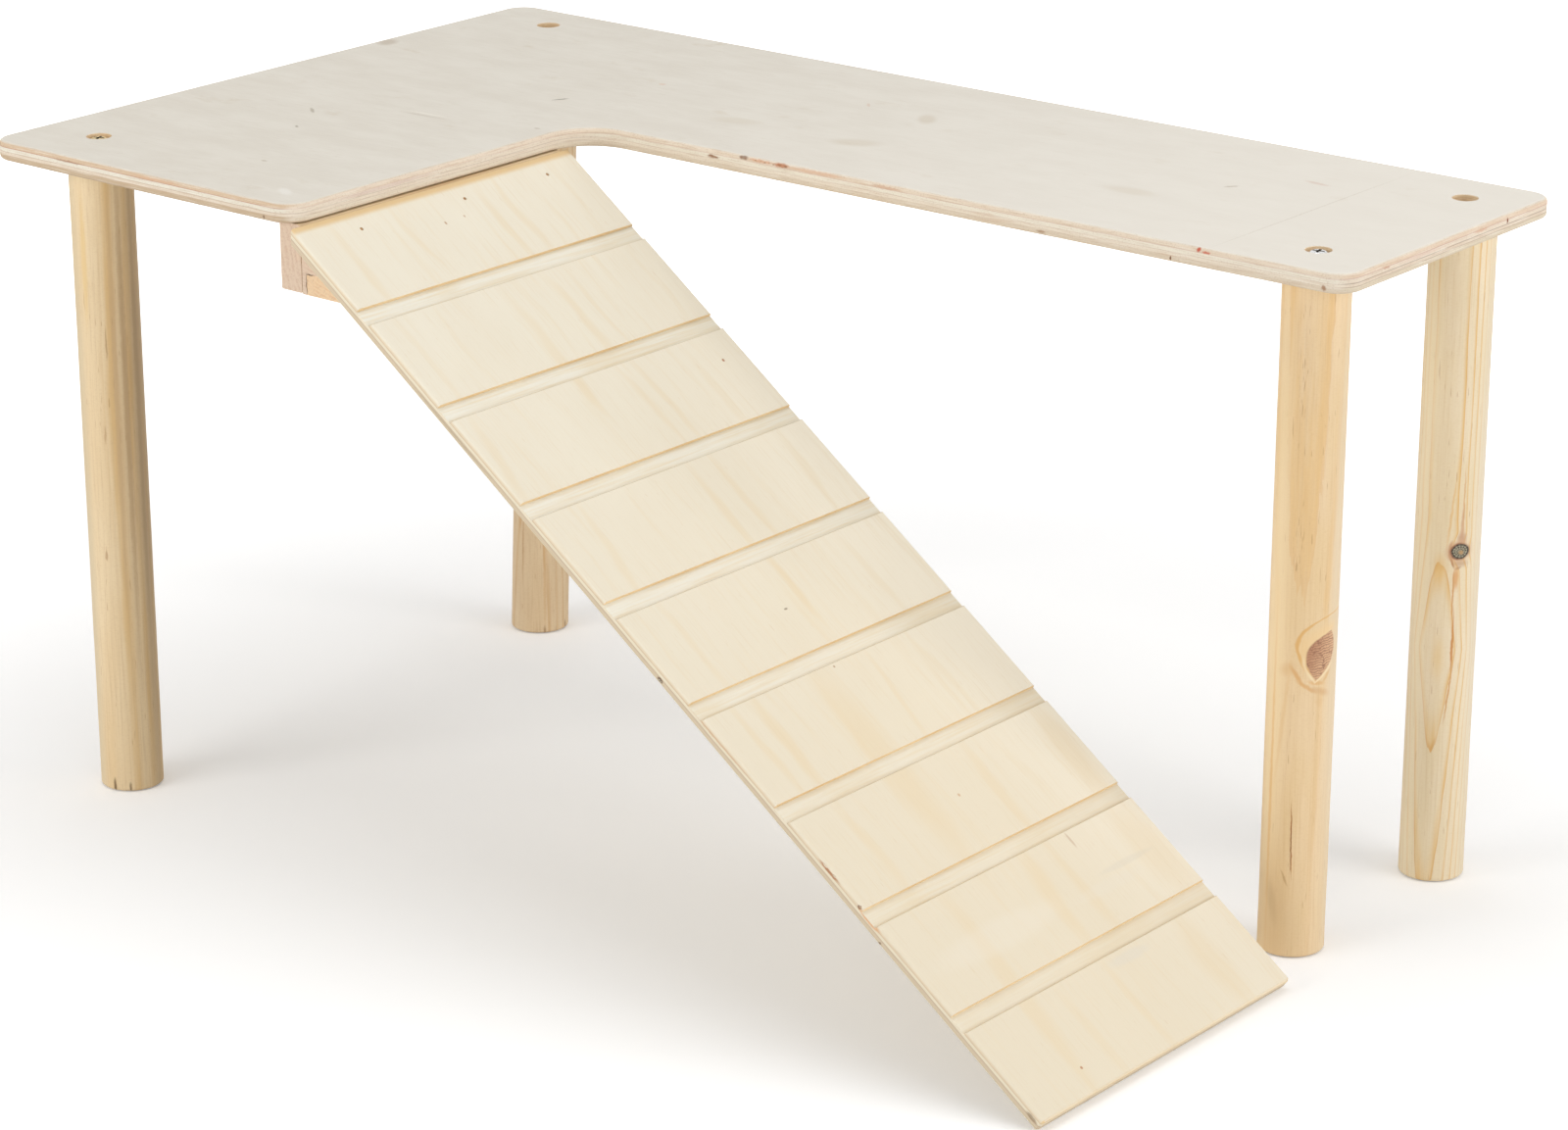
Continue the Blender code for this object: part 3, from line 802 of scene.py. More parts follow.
def draw_leg_marks(look, place, paint, marks, dashes):
    """The zones of short dark dashes on a leg, and then its single marks."""
    dash = look.fade(look.noise(place, (1700, 1700, 150), detail=1.0), 0.60, 0.72)
    for degrees, height, wide, tall, strength in dashes:
        away = look.away(place, *leg_spot(degrees, height, wide, tall))
        zone = look.fade(away, 0.4, 1.1, strength, 0.0)
        paint = look.mix(look.times(zone, dash), paint, (166, 116, 72))
    rough = look.ragged(place, (500, 500, 260), 0.0011)
    for degrees, height, wide, tall, tilt, mark_paint, strength, softness in marks:
        centre, reach, turn = leg_spot(degrees, height, wide, tall, tilt)
        paint = look.mark(paint, rough, centre, reach, mark_paint, strength, softness, turn)
    return paint


def knot_frame(look, place, knot, raggedness):
    """Where a place lies seen from a knot, in shares of the knot's half width and half height."""
    turn = (math.radians(knot["tilt"]), 0.0, math.radians(knot["face"]))
    rough = look.ragged(place, (260, 260, 260), raggedness)
    reach = Vector((8, knot["wide"], knot["tall"])) * MM
    return look.local(rough, on_leg(knot["at"], knot["height"]), turn, reach)


def draw_round_knot(look, place, paint, knot):
    """A dead branch cut across: grey wood with light rays, a black ring of bark, and a reddish seam."""
    near = knot_frame(look, place, knot, 0.0010)
    out, aside, along = look.split(near)
    around = paint
    away = look.vector("LENGTH", look.vector("MULTIPLY", near, (0.0, 1.0, 1.0)))
    to_left = look.fade(aside, -0.6, 0.8, 1.0, 0.45)
    paint = look.mix(look.times(to_left, look.fade(away, 1.15, 1.9, 0.7, 0.0)), paint, (212, 170, 134))
    paint = look.mix(look.times(to_left, look.fade(away, 1.10, 1.36, 0.95, 0.0)), paint, (160, 108, 80))
    grain = look.noise(near, (1.0, 6.0, 6.0), roughness=0.6)
    angle = look.math("ARCTAN2", along, aside)
    rays = look.math("SINE", look.times_plus(angle, 13.0, look.times(grain, 9.0)))
    rings = look.math("SINE", look.times_plus(away, 22.0, look.times(grain, 7.0)))
    pattern = look.times_plus(rays, 0.6, look.times(rings, 0.5))
    heart = look.mix(look.fade(pattern, -0.8, 0.9), (84, 76, 64), (170, 164, 140))
    off_centre = look.vector("SUBTRACT", near, (0.0, 0.10, -0.16))
    core = look.vector("LENGTH", look.vector("MULTIPLY", off_centre, (0.0, 1.0, 1.0)))
    heart = look.mix(look.fade(core, 0.14, 0.42, 0.85, 0.0), heart, (190, 152, 106))
    paint = look.mix(look.fade(away, 0.98, 1.08, 1.0, 0.0), paint, heart)
    bark = look.times(look.fade(away, 0.78, 0.92), look.fade(away, 1.02, 1.14, 1.0, 0.0))
    paint = look.mix(look.times(bark, look.fade(grain, 0.3, 0.6, 0.9, 0.6)), paint, (70, 56, 48))
    return look.mix(look.fade(out, -1.6, -1.2), around, paint)


def draw_leaf_knot(look, place, paint, knot):
    """A live branch cut at a slant: pointed pink-brown wood, and beside it a pale gap and a line of resin."""
    near = knot_frame(look, place, knot, 0.0006)
    out, aside, along = look.split(near)
    around = paint
    left = look.times(aside, -1.0)
    away = look.times_plus(along, along, look.math("MAXIMUM", left, look.times(aside, 1.9)))
    lifted = look.minus(along, 0.37)
    ring = look.times_plus(look.times(lifted, lifted), 0.88, left)
    inside = look.times(look.fade(ring, 1.50, 1.68, 0.6, 0.0), look.fade(away, 1.2, 2.2, 1.0, 0.0))
    inside = look.times(inside, look.fade(aside, -0.1, 0.3, 1.0, 0.0))
    paint = look.mix(inside, paint, (240, 206, 152))
    swell = look.noise(near, (1.0, 2.0, 2.0), detail=1.0)
    half = look.times_plus(swell, 0.22, look.fade(along, -0.9, 0.3, 0.16, 0.02))
    off_line = look.math("ABSOLUTE", look.minus(ring, 1.62))
    line = look.minus(1.0, look.math("DIVIDE", off_line, half))
    line = look.times(look.fade(line, 0.0, 0.8), look.fade(along, -0.95, -0.6))
    paint = look.mix(look.times(line, look.fade(along, 0.6, 2.0, 0.85, 0.55)), paint, (224, 174, 104))
    grain = look.noise(near, (1.0, 3.2, 3.2), detail=3.0, roughness=0.65)
    sweep = look.times_plus(aside, -0.30, along)
    lines = look.math("FRACT", look.times_plus(sweep, 9.0, look.times(grain, 2.4)))
    heart = look.mix(look.fade(aside, -0.9, 0.25), (188, 140, 108), (216, 174, 136))
    dark = look.fade(away, 0.4, 1.0, 0.85, 0.55)
    heart = look.mix(look.times(look.fade(lines, 0.45, 0.90), dark), heart, (150, 102, 78))
    heart = look.tint(heart, grain, 0.54, 0.68, 0.6, (138, 92, 72))
    paint = look.mix(look.fade(away, 0.90, 1.04, 1.0, 0.0), paint, heart)
    rim = look.times(look.fade(away, 1.02, 1.10), look.fade(away, 1.16, 1.34, 1.0, 0.0))
    rim = look.times(rim, look.fade(along, -0.1, -0.5, 0.0, 0.7))
    paint = look.mix(rim, paint, (246, 224, 184))
    return look.mix(look.fade(out, -1.6, -1.2), around, paint)


# Ramp: streaks on its upper face, in millimetres: place down the slope, place across from its front edge,
# half length and half width, and then turn in degrees and strength
RAMP_FIGURE = (
    (346, 73, 50, 8.5, -1.5, 0.85), (330, 67, 32, 2.2, -8, 0.5), (26, 126, 26, 1.8, 0, 0.6),
    (88, 125, 24, 1.6, 2, 0.5), (143, 118.6, 24, 1.8, 2, 0.6), (202, 116, 26, 2.0, -1, 0.6),
    (30, 113.5, 20, 2.4, 3, 0.6), (88, 112, 24, 2.6, 3, 0.6), (143, 108.6, 24, 2.0, 3, 0.5),
    (248, 100, 19, 2.4, 0, 0.95), (205, 98.6, 24, 2.4, -3, 0.7), (102, 81.6, 32, 3.4, -1, 0.6),
    (122, 81, 14, 2.4, 2, 0.5), (142, 8, 24, 2.8, -9, 0.6), (205, 23, 26, 2.4, -7, 0.6),
    (258, 26, 26, 2.2, 2, 0.5), (316, 32, 26, 3.0, 0, 0.9), (316, 19, 25, 2.6, 0, 0.7),
    (430, 97, 24, 5.0, -3, 0.9), (458, 41, 52, 4.4, -3, 0.8), (488, 94, 24, 2.6, 2, 0.6),
    (375, 118, 24, 3.0, -3, 0.7), (432, 117, 24, 3.4, 1, 0.6), (374, 172, 24, 7.0, 0, 0.7),
    (430, 168, 24, 9.0, 0, 0.5), (318, 106, 24, 1.8, -5, 0.6), (318, 140, 26, 1.6, 4, 0.4),
    (30, 20, 26, 2.2, 0, 0.5), (88, 14, 26, 2.0, 2, 0.4), (490, 150, 24, 8.0, 0, 0.6),
    (490, 60, 24, 3.0, 3, 0.5), (375, 30, 24, 3.0, 3, 0.5), (20, 60, 18, 1.6, 8, 0.5),
    (200, 160, 26, 2.0, -4, 0.45), (262, 148, 24, 2.2, 3, 0.4), (150, 150, 24, 2.4, -3, 0.4),
)
# Spots there, with colour and strength
RAMP_SPOTS = (
    (132, 167, 0.8, 0.7, (176, 116, 72), 0.9), (19.5, 81.9, 0.9, 0.5, (184, 138, 92), 0.8),
    (18.8, 94.8, 0.7, 0.4, (190, 146, 100), 0.7), (258, 87, 0.5, 1.1, (150, 132, 108), 0.8),
    (370, 94, 0.8, 0.7, (206, 164, 120), 0.7), (501, 40, 0.7, 0.7, (184, 120, 72), 0.8),
    (292, 86.5, 0.6, 0.6, (176, 140, 100), 0.7), (411, 131, 4, 0.7, (200, 170, 140), 0.5),
    (434, 54, 7, 40, (240, 232, 216), 0.3), (431, 150, 1.6, 18, (222, 214, 198), 0.3),
    (469, 110, 2.6, 13, (224, 218, 206), 0.35), (437, 130, 3.0, 22, (236, 228, 212), 0.25),
)

# Flaws of the ramp's front edge, in millimetres: place down the slope, depth, half length and half height,
# and then colour and strength
RAMP_EDGE_FLAWS = (
    (264, 4.4, 1.6, 0.9, (92, 58, 34), 0.9), (375, 1.1, 6.0, 0.6, (176, 116, 72), 0.85),
    (395, 0.8, 1.0, 0.9, (120, 72, 44), 0.9), (402, 1.6, 6.0, 1.2, (226, 166, 112), 0.8),
    (411.5, 5.3, 0.6, 0.7, DARK, 0.8), (508, 3.0, 3.0, 1.0, (150, 124, 92), 0.7),
    (300, 1.7, 20, 0.4, (206, 160, 116), 0.5), (120, 4.2, 26, 0.5, (176, 158, 128), 0.5),
)
# Chips gone from it, with how deep they go in
RAMP_VOIDS = (
    (264, 4.5, 1.1, 0.6, 0.7), (372, 0.5, 2.0, 0.5, 0.7),
    (378, 0.6, 1.6, 0.4, 0.6), (395, 0.4, 0.5, 0.7, 0.8),
)
# Colours of its plies by depth in millimetres, with the glue lines between them
RAMP_PLIES = (
    (0.0, (240, 229, 206)), (1.45, (228, 208, 176)), (1.70, (208, 180, 144)), (1.90, (238, 227, 202)),
    (3.15, (236, 223, 197)), (3.35, (190, 168, 138)), (3.60, (212, 192, 164)), (4.85, (220, 203, 174)),
    (5.05, (196, 176, 146)), (5.30, (228, 212, 184)), (6.5, (204, 188, 158)),
)


def ramp_face_paint(look, place, flowing, streaks, fibre):
    """The treads: figure that runs down the slope, spots, a darker edge along each groove, and painted light
    and shade: darker down the slope, lighter towards the back edge, and a painted shadow just under the
    deck's edge.
    """
    s, across, out = look.split(place)
    cloud = look.noise(place, (14, 30, 5), detail=3.0)
    fleck = look.noise(place, (150, 1400, 200), detail=1.0)
    face = look.mix(look.fade(cloud, 0.30, 0.70), (238, 229, 209), (240, 232, 213))
    # Painted shade: the treads get darker down the slope.
    face = look.tint(face, s, 0.0, RAMP_LENGTH, 1.0, (234, 222, 198))
    # Painted light: the treads get lighter towards the back edge, less near the top and the foot.
    back_painted_light = look.times(look.fade(across, 0.10, RAMP_WIDTH), look.fade(s, 0.03, 0.20, 0.25, 1.0))
    back_painted_light = look.times(back_painted_light, look.fade(s, 0.40, 0.50, 0.75, 0.35))
    face = look.mix(back_painted_light, face, (248, 240, 222))
    face = look.tint(face, streaks, 0.50, 0.78, 0.38, (234, 215, 180))
    for at, side, length, width, turn, strength in RAMP_FIGURE:
        centre, reach = (at * MM, side * MM, 0.0), (length * MM, width * MM, 0.02)
        face = look.mark(face, flowing, centre, reach, (234, 214, 178), 0.6 * strength, 0.6, about_z(turn))
    face = look.tint(face, fibre, 0.50, 0.80, 0.30, (226, 206, 170))
    face = look.tint(face, fleck, 0.70, 0.82, 0.35, (216, 188, 146))
    for at, side, length, width, paint, strength in RAMP_SPOTS:
        reach = (length * MM, width * MM, 0.02)
        face = look.mark(face, place, (at * MM, side * MM, 0.0), reach, paint, strength)
    # Painted shadow: a golden band just under the deck's edge.
    face = look.mix(look.fade(s, 0.0015, 0.0045, 0.8, 0.0), face, (228, 192, 132))
    step = look.times(look.math("FRACT", look.math("DIVIDE", s, TREAD_PITCH)), TREAD_PITCH)
    lip = look.fade(s, TREAD_PITCH / 2, TREAD_PITCH / 2 + MM)
    return look.mix(look.times(look.fade(step, 0.0002, 0.0005, 0.7, 0.0), lip), face, (192, 176, 144))


def groove_floor_paint(look, place, cross):
    """The grooves' floor, where the next ply shows with its grain across the slope, with painted shade that
    darkens it down the slope.
    """
    floor = look.mix(look.fade(cross, 0.35, 0.75), (240, 236, 222), (234, 222, 196))
    # Painted shade: darker down the slope, as on the treads.
    floor = look.tint(floor, look.split(place)[0], 0.15, RAMP_LENGTH, 0.6, (232, 218, 190))
    return look.tint(floor, look.noise(place, (20, 14, 0)), 0.5, 0.7, 0.25, (226, 204, 160))


def ramp_side_paint(look, place, depth, streak):
    """The ramp's laminated edge, with its plies, streaks and flaws."""
    wander = look.noise(place, (26, 26, 0))
    side_depth = look.plus(depth, look.times_plus(wander, 0.8, -0.4))
    total = RAMP_THICKNESS / MM
    stops = [(at / total, paint) for at, paint in RAMP_PLIES]
    side = look.bands(look.math("DIVIDE", side_depth, total), stops)
    side = look.tint(side, streak, 0.48, 0.75, 0.35, (182, 158, 124))
    rough = look.ragged(place, (600, 600, 600), 0.0010)
    for at, down, length, tall, paint, strength in RAMP_EDGE_FLAWS:
        reach = (length * MM, 0.003, tall * MM)
        side = look.mark(side, rough, (at * MM, 0.0, -down * MM), reach, paint, strength)
    return side


def ramp_look():
    look = Look("ramp_plywood", 0.56)
    place = look.local(look.place, (RAMP_LOW.x, RAMP_LOW.y, RAMP_HIGH.z), (0.0, RAMP_SLOPE, 0.0))
    depth = look.times(look.split(place)[2], -1 / MM)
    flowing = look.ragged(place, (22, 40, 0), 0.010)
    streaks = look.noise(flowing, (9, 150, 0), detail=4.0, roughness=0.6)
    fibre = look.noise(place, (40, 1000, 200), detail=3.0, roughness=0.6)
    cross = look.noise(place, (900, 26, 200), detail=3.0, roughness=0.6)
    streak = look.noise(place, (70, 70, 2600), detail=3.0, roughness=0.65)
    face = ramp_face_paint(look, place, flowing, streaks, fibre)
    floor = groove_floor_paint(look, place, cross)
    side = ramp_side_paint(look, place, depth, streak)

    lean_s, lean_across, lean_out = look.split(look.local(look.normal, (0, 0, 0), (0.0, RAMP_SLOPE, 0.0)))
    sunk = look.fade(depth, GROOVE_DEPTH / MM - 0.5, GROOVE_DEPTH / MM - 0.2)
    under = look.mix(look.fade(streaks, 0.4, 0.7), (232, 218, 190), (222, 202, 166))
    side = look.mix(look.fade(lean_out, -0.8, -0.45, 1.0, 0.0), side, under)
    paint = look.mix(look.fade(lean_out, 0.45, 0.80), side, look.mix(sunk, face, floor))
    wall = look.times(look.fade(look.math("ABSOLUTE", lean_s), 0.6, 0.9),
                      look.fade(depth, GROOVE_DEPTH / MM + 0.1, GROOVE_DEPTH / MM + 0.3, 1.0, 0.0))
    paint = look.mix(wall, paint, look.mix(look.fade(cross, 0.3, 0.7), (242, 216, 172), (230, 198, 148)))
    height = look.plus(look.times(fibre, 0.5), look.times(streak, 0.4))
    return look.finish(paint, height, 0.00008)


def make_ramp(look):
    """The grooved board. In its own frame X runs down the slope, Y across it and Z out of its upper face."""
    section = rounded_rectangle(RAMP_WIDTH, RAMP_THICKNESS, RAMP_EDGE_ROUNDING, 7)
    section = [(y, z - RAMP_THICKNESS) for y, z in section]
    plumb = math.tan(RAMP_SLOPE)
    ease = 0.00035

    def ring(s, sunk):
        return [(s, y, min(z, -sunk)) for y, z in section]
    eased = ((0.0, ease), (0.35 * ease, 0.3 * ease), (ease, 0.0))
    rings = [[(-z * plumb, y, z) for y, z in section]]
    for tread in range(TREAD_COUNT):
        start = tread * TREAD_PITCH
        end = start + TREAD_LENGTH
        if tread > 0:
            rings.append(ring(start, GROOVE_DEPTH))
            rings += [ring(start + back, sunk) for back, sunk in eased]
        if tread < TREAD_COUNT - 1:
            rings += [ring(end - back, sunk) for back, sunk in reversed(eased)]
            rings.append(ring(end, GROOVE_DEPTH))
    rings.append(ring(RAMP_LENGTH - RAMP_FOOT_EASE, 0.0))
    keep_y = 1 - 2 * RAMP_FOOT_EASE / RAMP_WIDTH
    keep_z = 1 - 2 * RAMP_FOOT_EASE / RAMP_THICKNESS
    rings.append([(RAMP_LENGTH, RAMP_WIDTH / 2 + (y - RAMP_WIDTH / 2) * keep_y,
                   -RAMP_THICKNESS / 2 + (z + RAMP_THICKNESS / 2) * keep_z) for y, z in section])
    ramp = loft("grooved_ramp", rings, look)
    cutters = [lump((at * MM, 0.0, -down * MM), (length * MM, deep * MM, tall * MM))
               for at, down, length, tall, deep in RAMP_VOIDS]
    for number in BRADS:
        wide, snug = BRAD_RADIUS + CLEARANCE, BRAD_RADIUS + 0.1 * MM
        profile = [(wide, -BRAD_LENGTH), (wide, -1.4 * MM), (snug, -1.2 * MM), (snug, OVERRUN)]
        cutters.append(turned("hole", profile, 20, None, (BRAD_ROW, brad_across(number)), 0.06))
    carve(ramp, cutters)
    return set_on_slope(ramp)


def set_on_slope(piece):
    """Moves a piece made in the ramp's own frame to where the ramp stands."""
    return settle(piece, (0.0, RAMP_SLOPE, 0.0), (RAMP_LOW.x, RAMP_LOW.y, RAMP_HIGH.z))


def brad_across(number):
    return middle_of("ramp_brad_" + str(number)).y - RAMP_LOW.y


def make_brad(number, look):
    """A thin nail with a small flat head, driven just under the ramp's face."""
    shares = ((0.25, -BRAD_LENGTH), (0.8, 1.6 * MM - BRAD_LENGTH), (0.8, -1.1 * MM), (1.0, -0.9 * MM),
              (1.0, -0.40 * MM), (0.85, -CLEARANCE))
    profile = [(share * BRAD_RADIUS, height) for share, height in shares]
    return set_on_slope(turned("brad_" + str(number), profile, 20, look, (BRAD_ROW, brad_across(number))))


# The cracks in the wedge's front end: where the upright one stands and ends, and where the level one does
CRACK_X, CRACK_FOOT, CRACK_TOP = -0.1095, 0.2799, 0.2887
CRACK_Z, CRACK_LEFT, CRACK_RIGHT = 0.2890, -0.1101, -0.1047
CRACK_HALF_WIDTH, CRACK_WANDER, CRACK_DEPTH = 0.00022, 0.0004, 0.0007


def softwood_look(name, wood, line, rings_along, cracked=None):
    """Sawn softwood: long grain along Y, and end grain with that many growth rings per metre of X and of Z.

    A cracked piece has another pair of colours to the right of the upright crack and below the level one.
    """
    look = Look(name, 0.70)
    place = look.place
    x, y, z = look.split(place)
    lean_x, lean_y, lean_z = look.split(look.normal)
    bend = look.noise(place, (60, 3, 60))
    if cracked is not None:
        beyond = look.times(look.fade(x, CRACK_X - 0.0002, CRACK_X + 0.0002),
                            look.fade(z, CRACK_Z - 0.0002, CRACK_Z + 0.0002, 1.0, 0.0))
        wood, line = look.mix(beyond, wood, cracked[0]), look.mix(beyond, line, cracked[1])
    curve = look.times_plus(z, rings_along[1], look.times(x, rings_along[0]))
    rings = look.math("FRACT", look.times_plus(bend, 2.4, curve))
    speckle = look.noise(place, (1500, 1500, 1500))
    cloud = look.noise(place, (330, 330, 330))
    ring_share = look.times(look.fade(rings, 0.35, 0.90), look.fade(cloud, 0.35, 0.65, 0.1, 0.55))
    end = look.mix(ring_share, wood, line)
    end = look.tint(end, cloud, 0.52, 0.75, 0.30, (226, 196, 166))
    end = look.tint(end, speckle, 0.50, 0.75, 0.40, (184, 146, 118))
    fibre = look.noise(place, (900, 26, 900), detail=3.0, roughness=0.65)
    layers = look.noise(place, (260, 5, 260))
    long_grain = look.mix(look.fade(layers, 0.40, 0.65), (232, 208, 170), (218, 182, 136))
    long_grain = look.tint(long_grain, fibre, 0.45, 0.75, 0.5, (190, 150, 106))
    paint = look.mix(look.fade(look.math("ABSOLUTE", lean_y), 0.6, 0.8), long_grain, end)
    saw = look.noise(place, (20, 700, 20))
    height = look.plus(look.times(speckle, 0.5), look.times(saw, 0.5))
    return look.finish(paint, height, 0.00018)


def sawn_strip(name, profile, start, end, look):
    """A strip along Y with that profile in X and Z, its faces a little uneven from the saw."""
    middle = Vector((sum(x for x, z in profile), sum(z for x, z in profile))) / len(profile)
    count = int((end - start) / STRIP_RING_SPACING)
    rings = []
    for step in range(count + 1):
        y = start + (end - start) * step / count
        ring = []
        for x, z in profile:
            inward = (middle - Vector((x, z))).normalized() * worn(x, y, z, 130, SAW_MARKS)
            ring.append((x + inward.x, y, z + inward.y))
        rings.append(ring)
    return loft(name, rings, look)


def make_batten(look):
    width, height = BATTEN_HIGH.x - BATTEN_LOW.x, BATTEN_HIGH.z - BATTEN_LOW.z
    profile = [(BATTEN_LOW.x + x, BATTEN_LOW.z + z) for x, z in rounded_rectangle(width, height, 0.0008, 5)]
    batten = sawn_strip("batten_strip", profile, BATTEN_LOW.y, BATTEN_HIGH.y, look)
    cutters = []
    for number in BATTEN_SCREWS:
        x, y, seat, point = batten_screw_place(number)
        sink = BATTEN_SCREW["head"] / 2 + CLEARANCE
        hole = BATTEN_SCREW["shank"] / 2 + CLEARANCE
        profile = [(sink, BATTEN_LOW.z - OVERRUN), (sink, seat + CLEARANCE),
                   (hole, seat + CLEARANCE), (hole, BATTEN_HIGH.z + OVERRUN)]
        cutters.append(turned("sink", profile, 36, None, (x, y), 0.02))
    return carve(batten, cutters)


def make_wedge(look):
    """The tapered strip, its long corners slightly broken."""
    ease = 0.0003
    tall = WEDGE_HIGH.z - WEDGE_LOW.z
    wide = WEDGE_HIGH.x - WEDGE_LOW.x
    top = WEDGE_HIGH.z - ease * (1 + tall / wide)
    profile = [(WEDGE_LOW.x + ease, WEDGE_LOW.z), (WEDGE_HIGH.x - 2 * ease, WEDGE_LOW.z),
               (WEDGE_HIGH.x - 1.2 * ease, WEDGE_LOW.z + 0.5 * ease), (WEDGE_LOW.x + ease, top),
               (WEDGE_LOW.x, top), (WEDGE_LOW.x, WEDGE_LOW.z + ease)]
    wedge = sawn_strip("wedge_strip", profile, WEDGE_LOW.y, WEDGE_HIGH.y, look)
    crack_shade = Look("crack_shade", 0.9).finish((104, 62, 38))
    upright = end_crack((CRACK_X, CRACK_FOOT), (CRACK_X, CRACK_TOP))
    level = end_crack((CRACK_LEFT, CRACK_Z), (CRACK_RIGHT, CRACK_Z))
    return carve(wedge, [upright, level], overlapping=True, inside=crack_shade)


def end_crack(start, end):
    """A cutter for a thin crack in the wedge's front end, from one place to another in X and Z."""
    start, end = Vector(start), Vector(end)
    way = (end - start).normalized()
    side = Vector((-way.y, way.x))
    rings = []
    front, back = WEDGE_LOW.y - MM, WEDGE_LOW.y + CRACK_DEPTH
    steps = 12
    for step in range(steps + 1):
        share = step / steps
        half = CRACK_HALF_WIDTH * (0.25 + 0.75 * math.sin(math.pi * share))
        wander = side * CRACK_WANDER * noise.noise(Vector((share * 4, start.x * 900, 0.0)))
        middle = start.lerp(end, share) + wander
        ring = []
        for shift, y in ((half, front), (-half, front), (-half, back), (half, back)):
            point = middle + side * shift
            ring.append((point.x, y, point.y))
        rings.append(ring)
    return loft("end_crack", rings, None)


def steel_look(name, paint, dull, roughness):
    look = Look(name, roughness)
    look.shader.inputs["Metallic"].default_value = 1.0
    worn_off = look.noise(look.place, (1400, 1400, 1400), detail=3.0)
    scratch = look.noise(look.place, (4000, 300, 300), detail=1.0)
    return look.finish(look.mix(look.fade(worn_off, 0.42, 0.68), paint, dull), scratch, 0.00004)


def make_screw(name, length, shank, head, rise, look, recess_painted_shade):
    """A threaded wood screw along Z: point down, its domed head's seat at zero, and a cross in its head."""
    sides, pitch, rows_per_turn = 28, 0.42 * shank, 7
    plain = min(0.12 * length, 0.004)
    point = 1.5 * shank
    count = int((length - plain) / pitch * rows_per_turn)
    angles = [math.tau * side / sides for side in range(sides)]
    rings = []
    for row in range(count + 1):
        z = -length + (length - plain) * row / count
        taper = min(1.0, 0.12 + 0.88 * (z + length) / point)
        ring = []
        for side, angle in enumerate(angles):
            phase = (z / pitch + side / sides) % 1.0
            ridge = max(0.0, 1 - abs(phase - 0.5) * 3.2)
            fading = min(1.0, (-plain - z) / pitch)
            radius = taper * shank / 2 * (0.70 + 0.30 * ridge * fading)
            ring.append((radius * math.cos(angle), radius * math.sin(angle), z))
        rings.append(ring)
    dome = [(0.36 * shank, -plain * 0.6), (0.36 * shank, 0.0), (head / 2, 0.0), (head / 2, 0.3 * rise)]
    for step in range(1, 9):
        angle = math.radians(90 * step / 9)
        dome.append((head / 2 * (0.55 + 0.45 * math.cos(angle)), rise * (0.3 + 0.7 * math.sin(angle))))
    dome.append((0.3 * head, rise))
    for radius, z in dome:
        rings.append([(radius * math.cos(angle), radius * math.sin(angle), z) for angle in angles])
    screw = loft(name, rings, look)
    # The faces of the cross get a dark steel: painted shade in the recess.
    return carve(screw, [cross_recess(head, rise)], inside=recess_painted_shade)


def cross_recess(head, rise):
    """A cutter for the cross in a screw's head, narrower at its floor."""
    rings = []
    for arm, half, up in ((0.16 * head, 0.04 * head, 0.2 * rise), (0.31 * head, 0.075 * head, 1.02 * rise)):
        corners = [(half, half), (half, arm), (-half, arm)]
        ring = []
        for quarter in range(4):
            ring += [(x, y, up) for x, y in corners]
            corners = [(-y, x) for x, y in corners]
        rings.append(ring)
    return loft("recess", rings, None)


def make_floor():
    """A large pale floor that shows white to the camera, with the object's shadow on it."""
    mesh = bpy.data.meshes.new("floor")
    half = 6.0
    drop = -0.0004
    mesh.from_pydata([(-half, -half, drop), (half, -half, drop), (half, half, drop), (-half, half, drop)],
                     [], [(0, 1, 2, 3)])
    floor = bpy.data.objects.new("floor", mesh)
    bpy.context.collection.objects.link(floor)
    look = Look("floor_white", 0.9)
    look.shader.inputs["Emission Color"].default_value = (1.0, 1.0, 1.0, 1.0)
    seen = look.node("ShaderNodeLightPath").outputs["Is Camera Ray"]
    lift = look.fade(look.vector("LENGTH", look.place), WHITE_FROM, WHITE_BY, FLOOR_LIFT, 1.0)
    look.feed(look.shader.inputs["Emission Strength"], look.times(seen, lift))
    look.shader.inputs["Base Color"].default_value = (0.92, 0.92, 0.92, 1.0)
    look.shader.inputs["Specular IOR Level"].default_value = 0.0
    floor.data.materials.append(look.material)


def make_light():
    """An even surround that shows white, and large soft lamps to both sides of the camera and overhead."""
    world = bpy.data.worlds.new("studio")
    bpy.context.scene.world = world
    world.use_nodes = True
    tree = world.node_tree
    background = tree.nodes["Background"]
    background.inputs["Color"].default_value = (1.0, 1.0, 1.0, 1.0)
    path = tree.nodes.new("ShaderNodeLightPath")
    seen = path.outputs["Is Camera Ray"]
    for ray in ("Is Glossy Ray", "Is Transmission Ray"):
        either = tree.nodes.new("ShaderNodeMath")
        either.operation = "MAXIMUM"
        tree.links.new(seen, either.inputs[0])
        tree.links.new(path.outputs[ray], either.inputs[1])
        seen = either.outputs[0]
    level = tree.nodes.new("ShaderNodeMapRange")
    tree.links.new(seen, level.inputs["Value"])
    level.inputs["To Min"].default_value = AMBIENT
    level.inputs["To Max"].default_value = 1.0
    tree.links.new(level.outputs[0], background.inputs["Strength"])

    for name, (degrees, height, share, size) in LAMPS.items():
        lamp = bpy.data.lights.new(name, "AREA")
        lamp.size = size
        lamp.energy = share * (math.pi * LAMP_DISTANCE) ** 2
        holder = bpy.data.objects.new(name, lamp)
        out = leg_facing(degrees) * math.cos(math.radians(height))
        out.z = math.sin(math.radians(height))
        holder.location = out * LAMP_DISTANCE + Vector((0.0, 0.0, DECK_TOP / 2))
        holder.rotation_mode = "QUATERNION"
        holder.rotation_quaternion = out.to_track_quat("Z", "Y")
        holder.visible_camera = False
        bpy.context.collection.objects.link(holder)


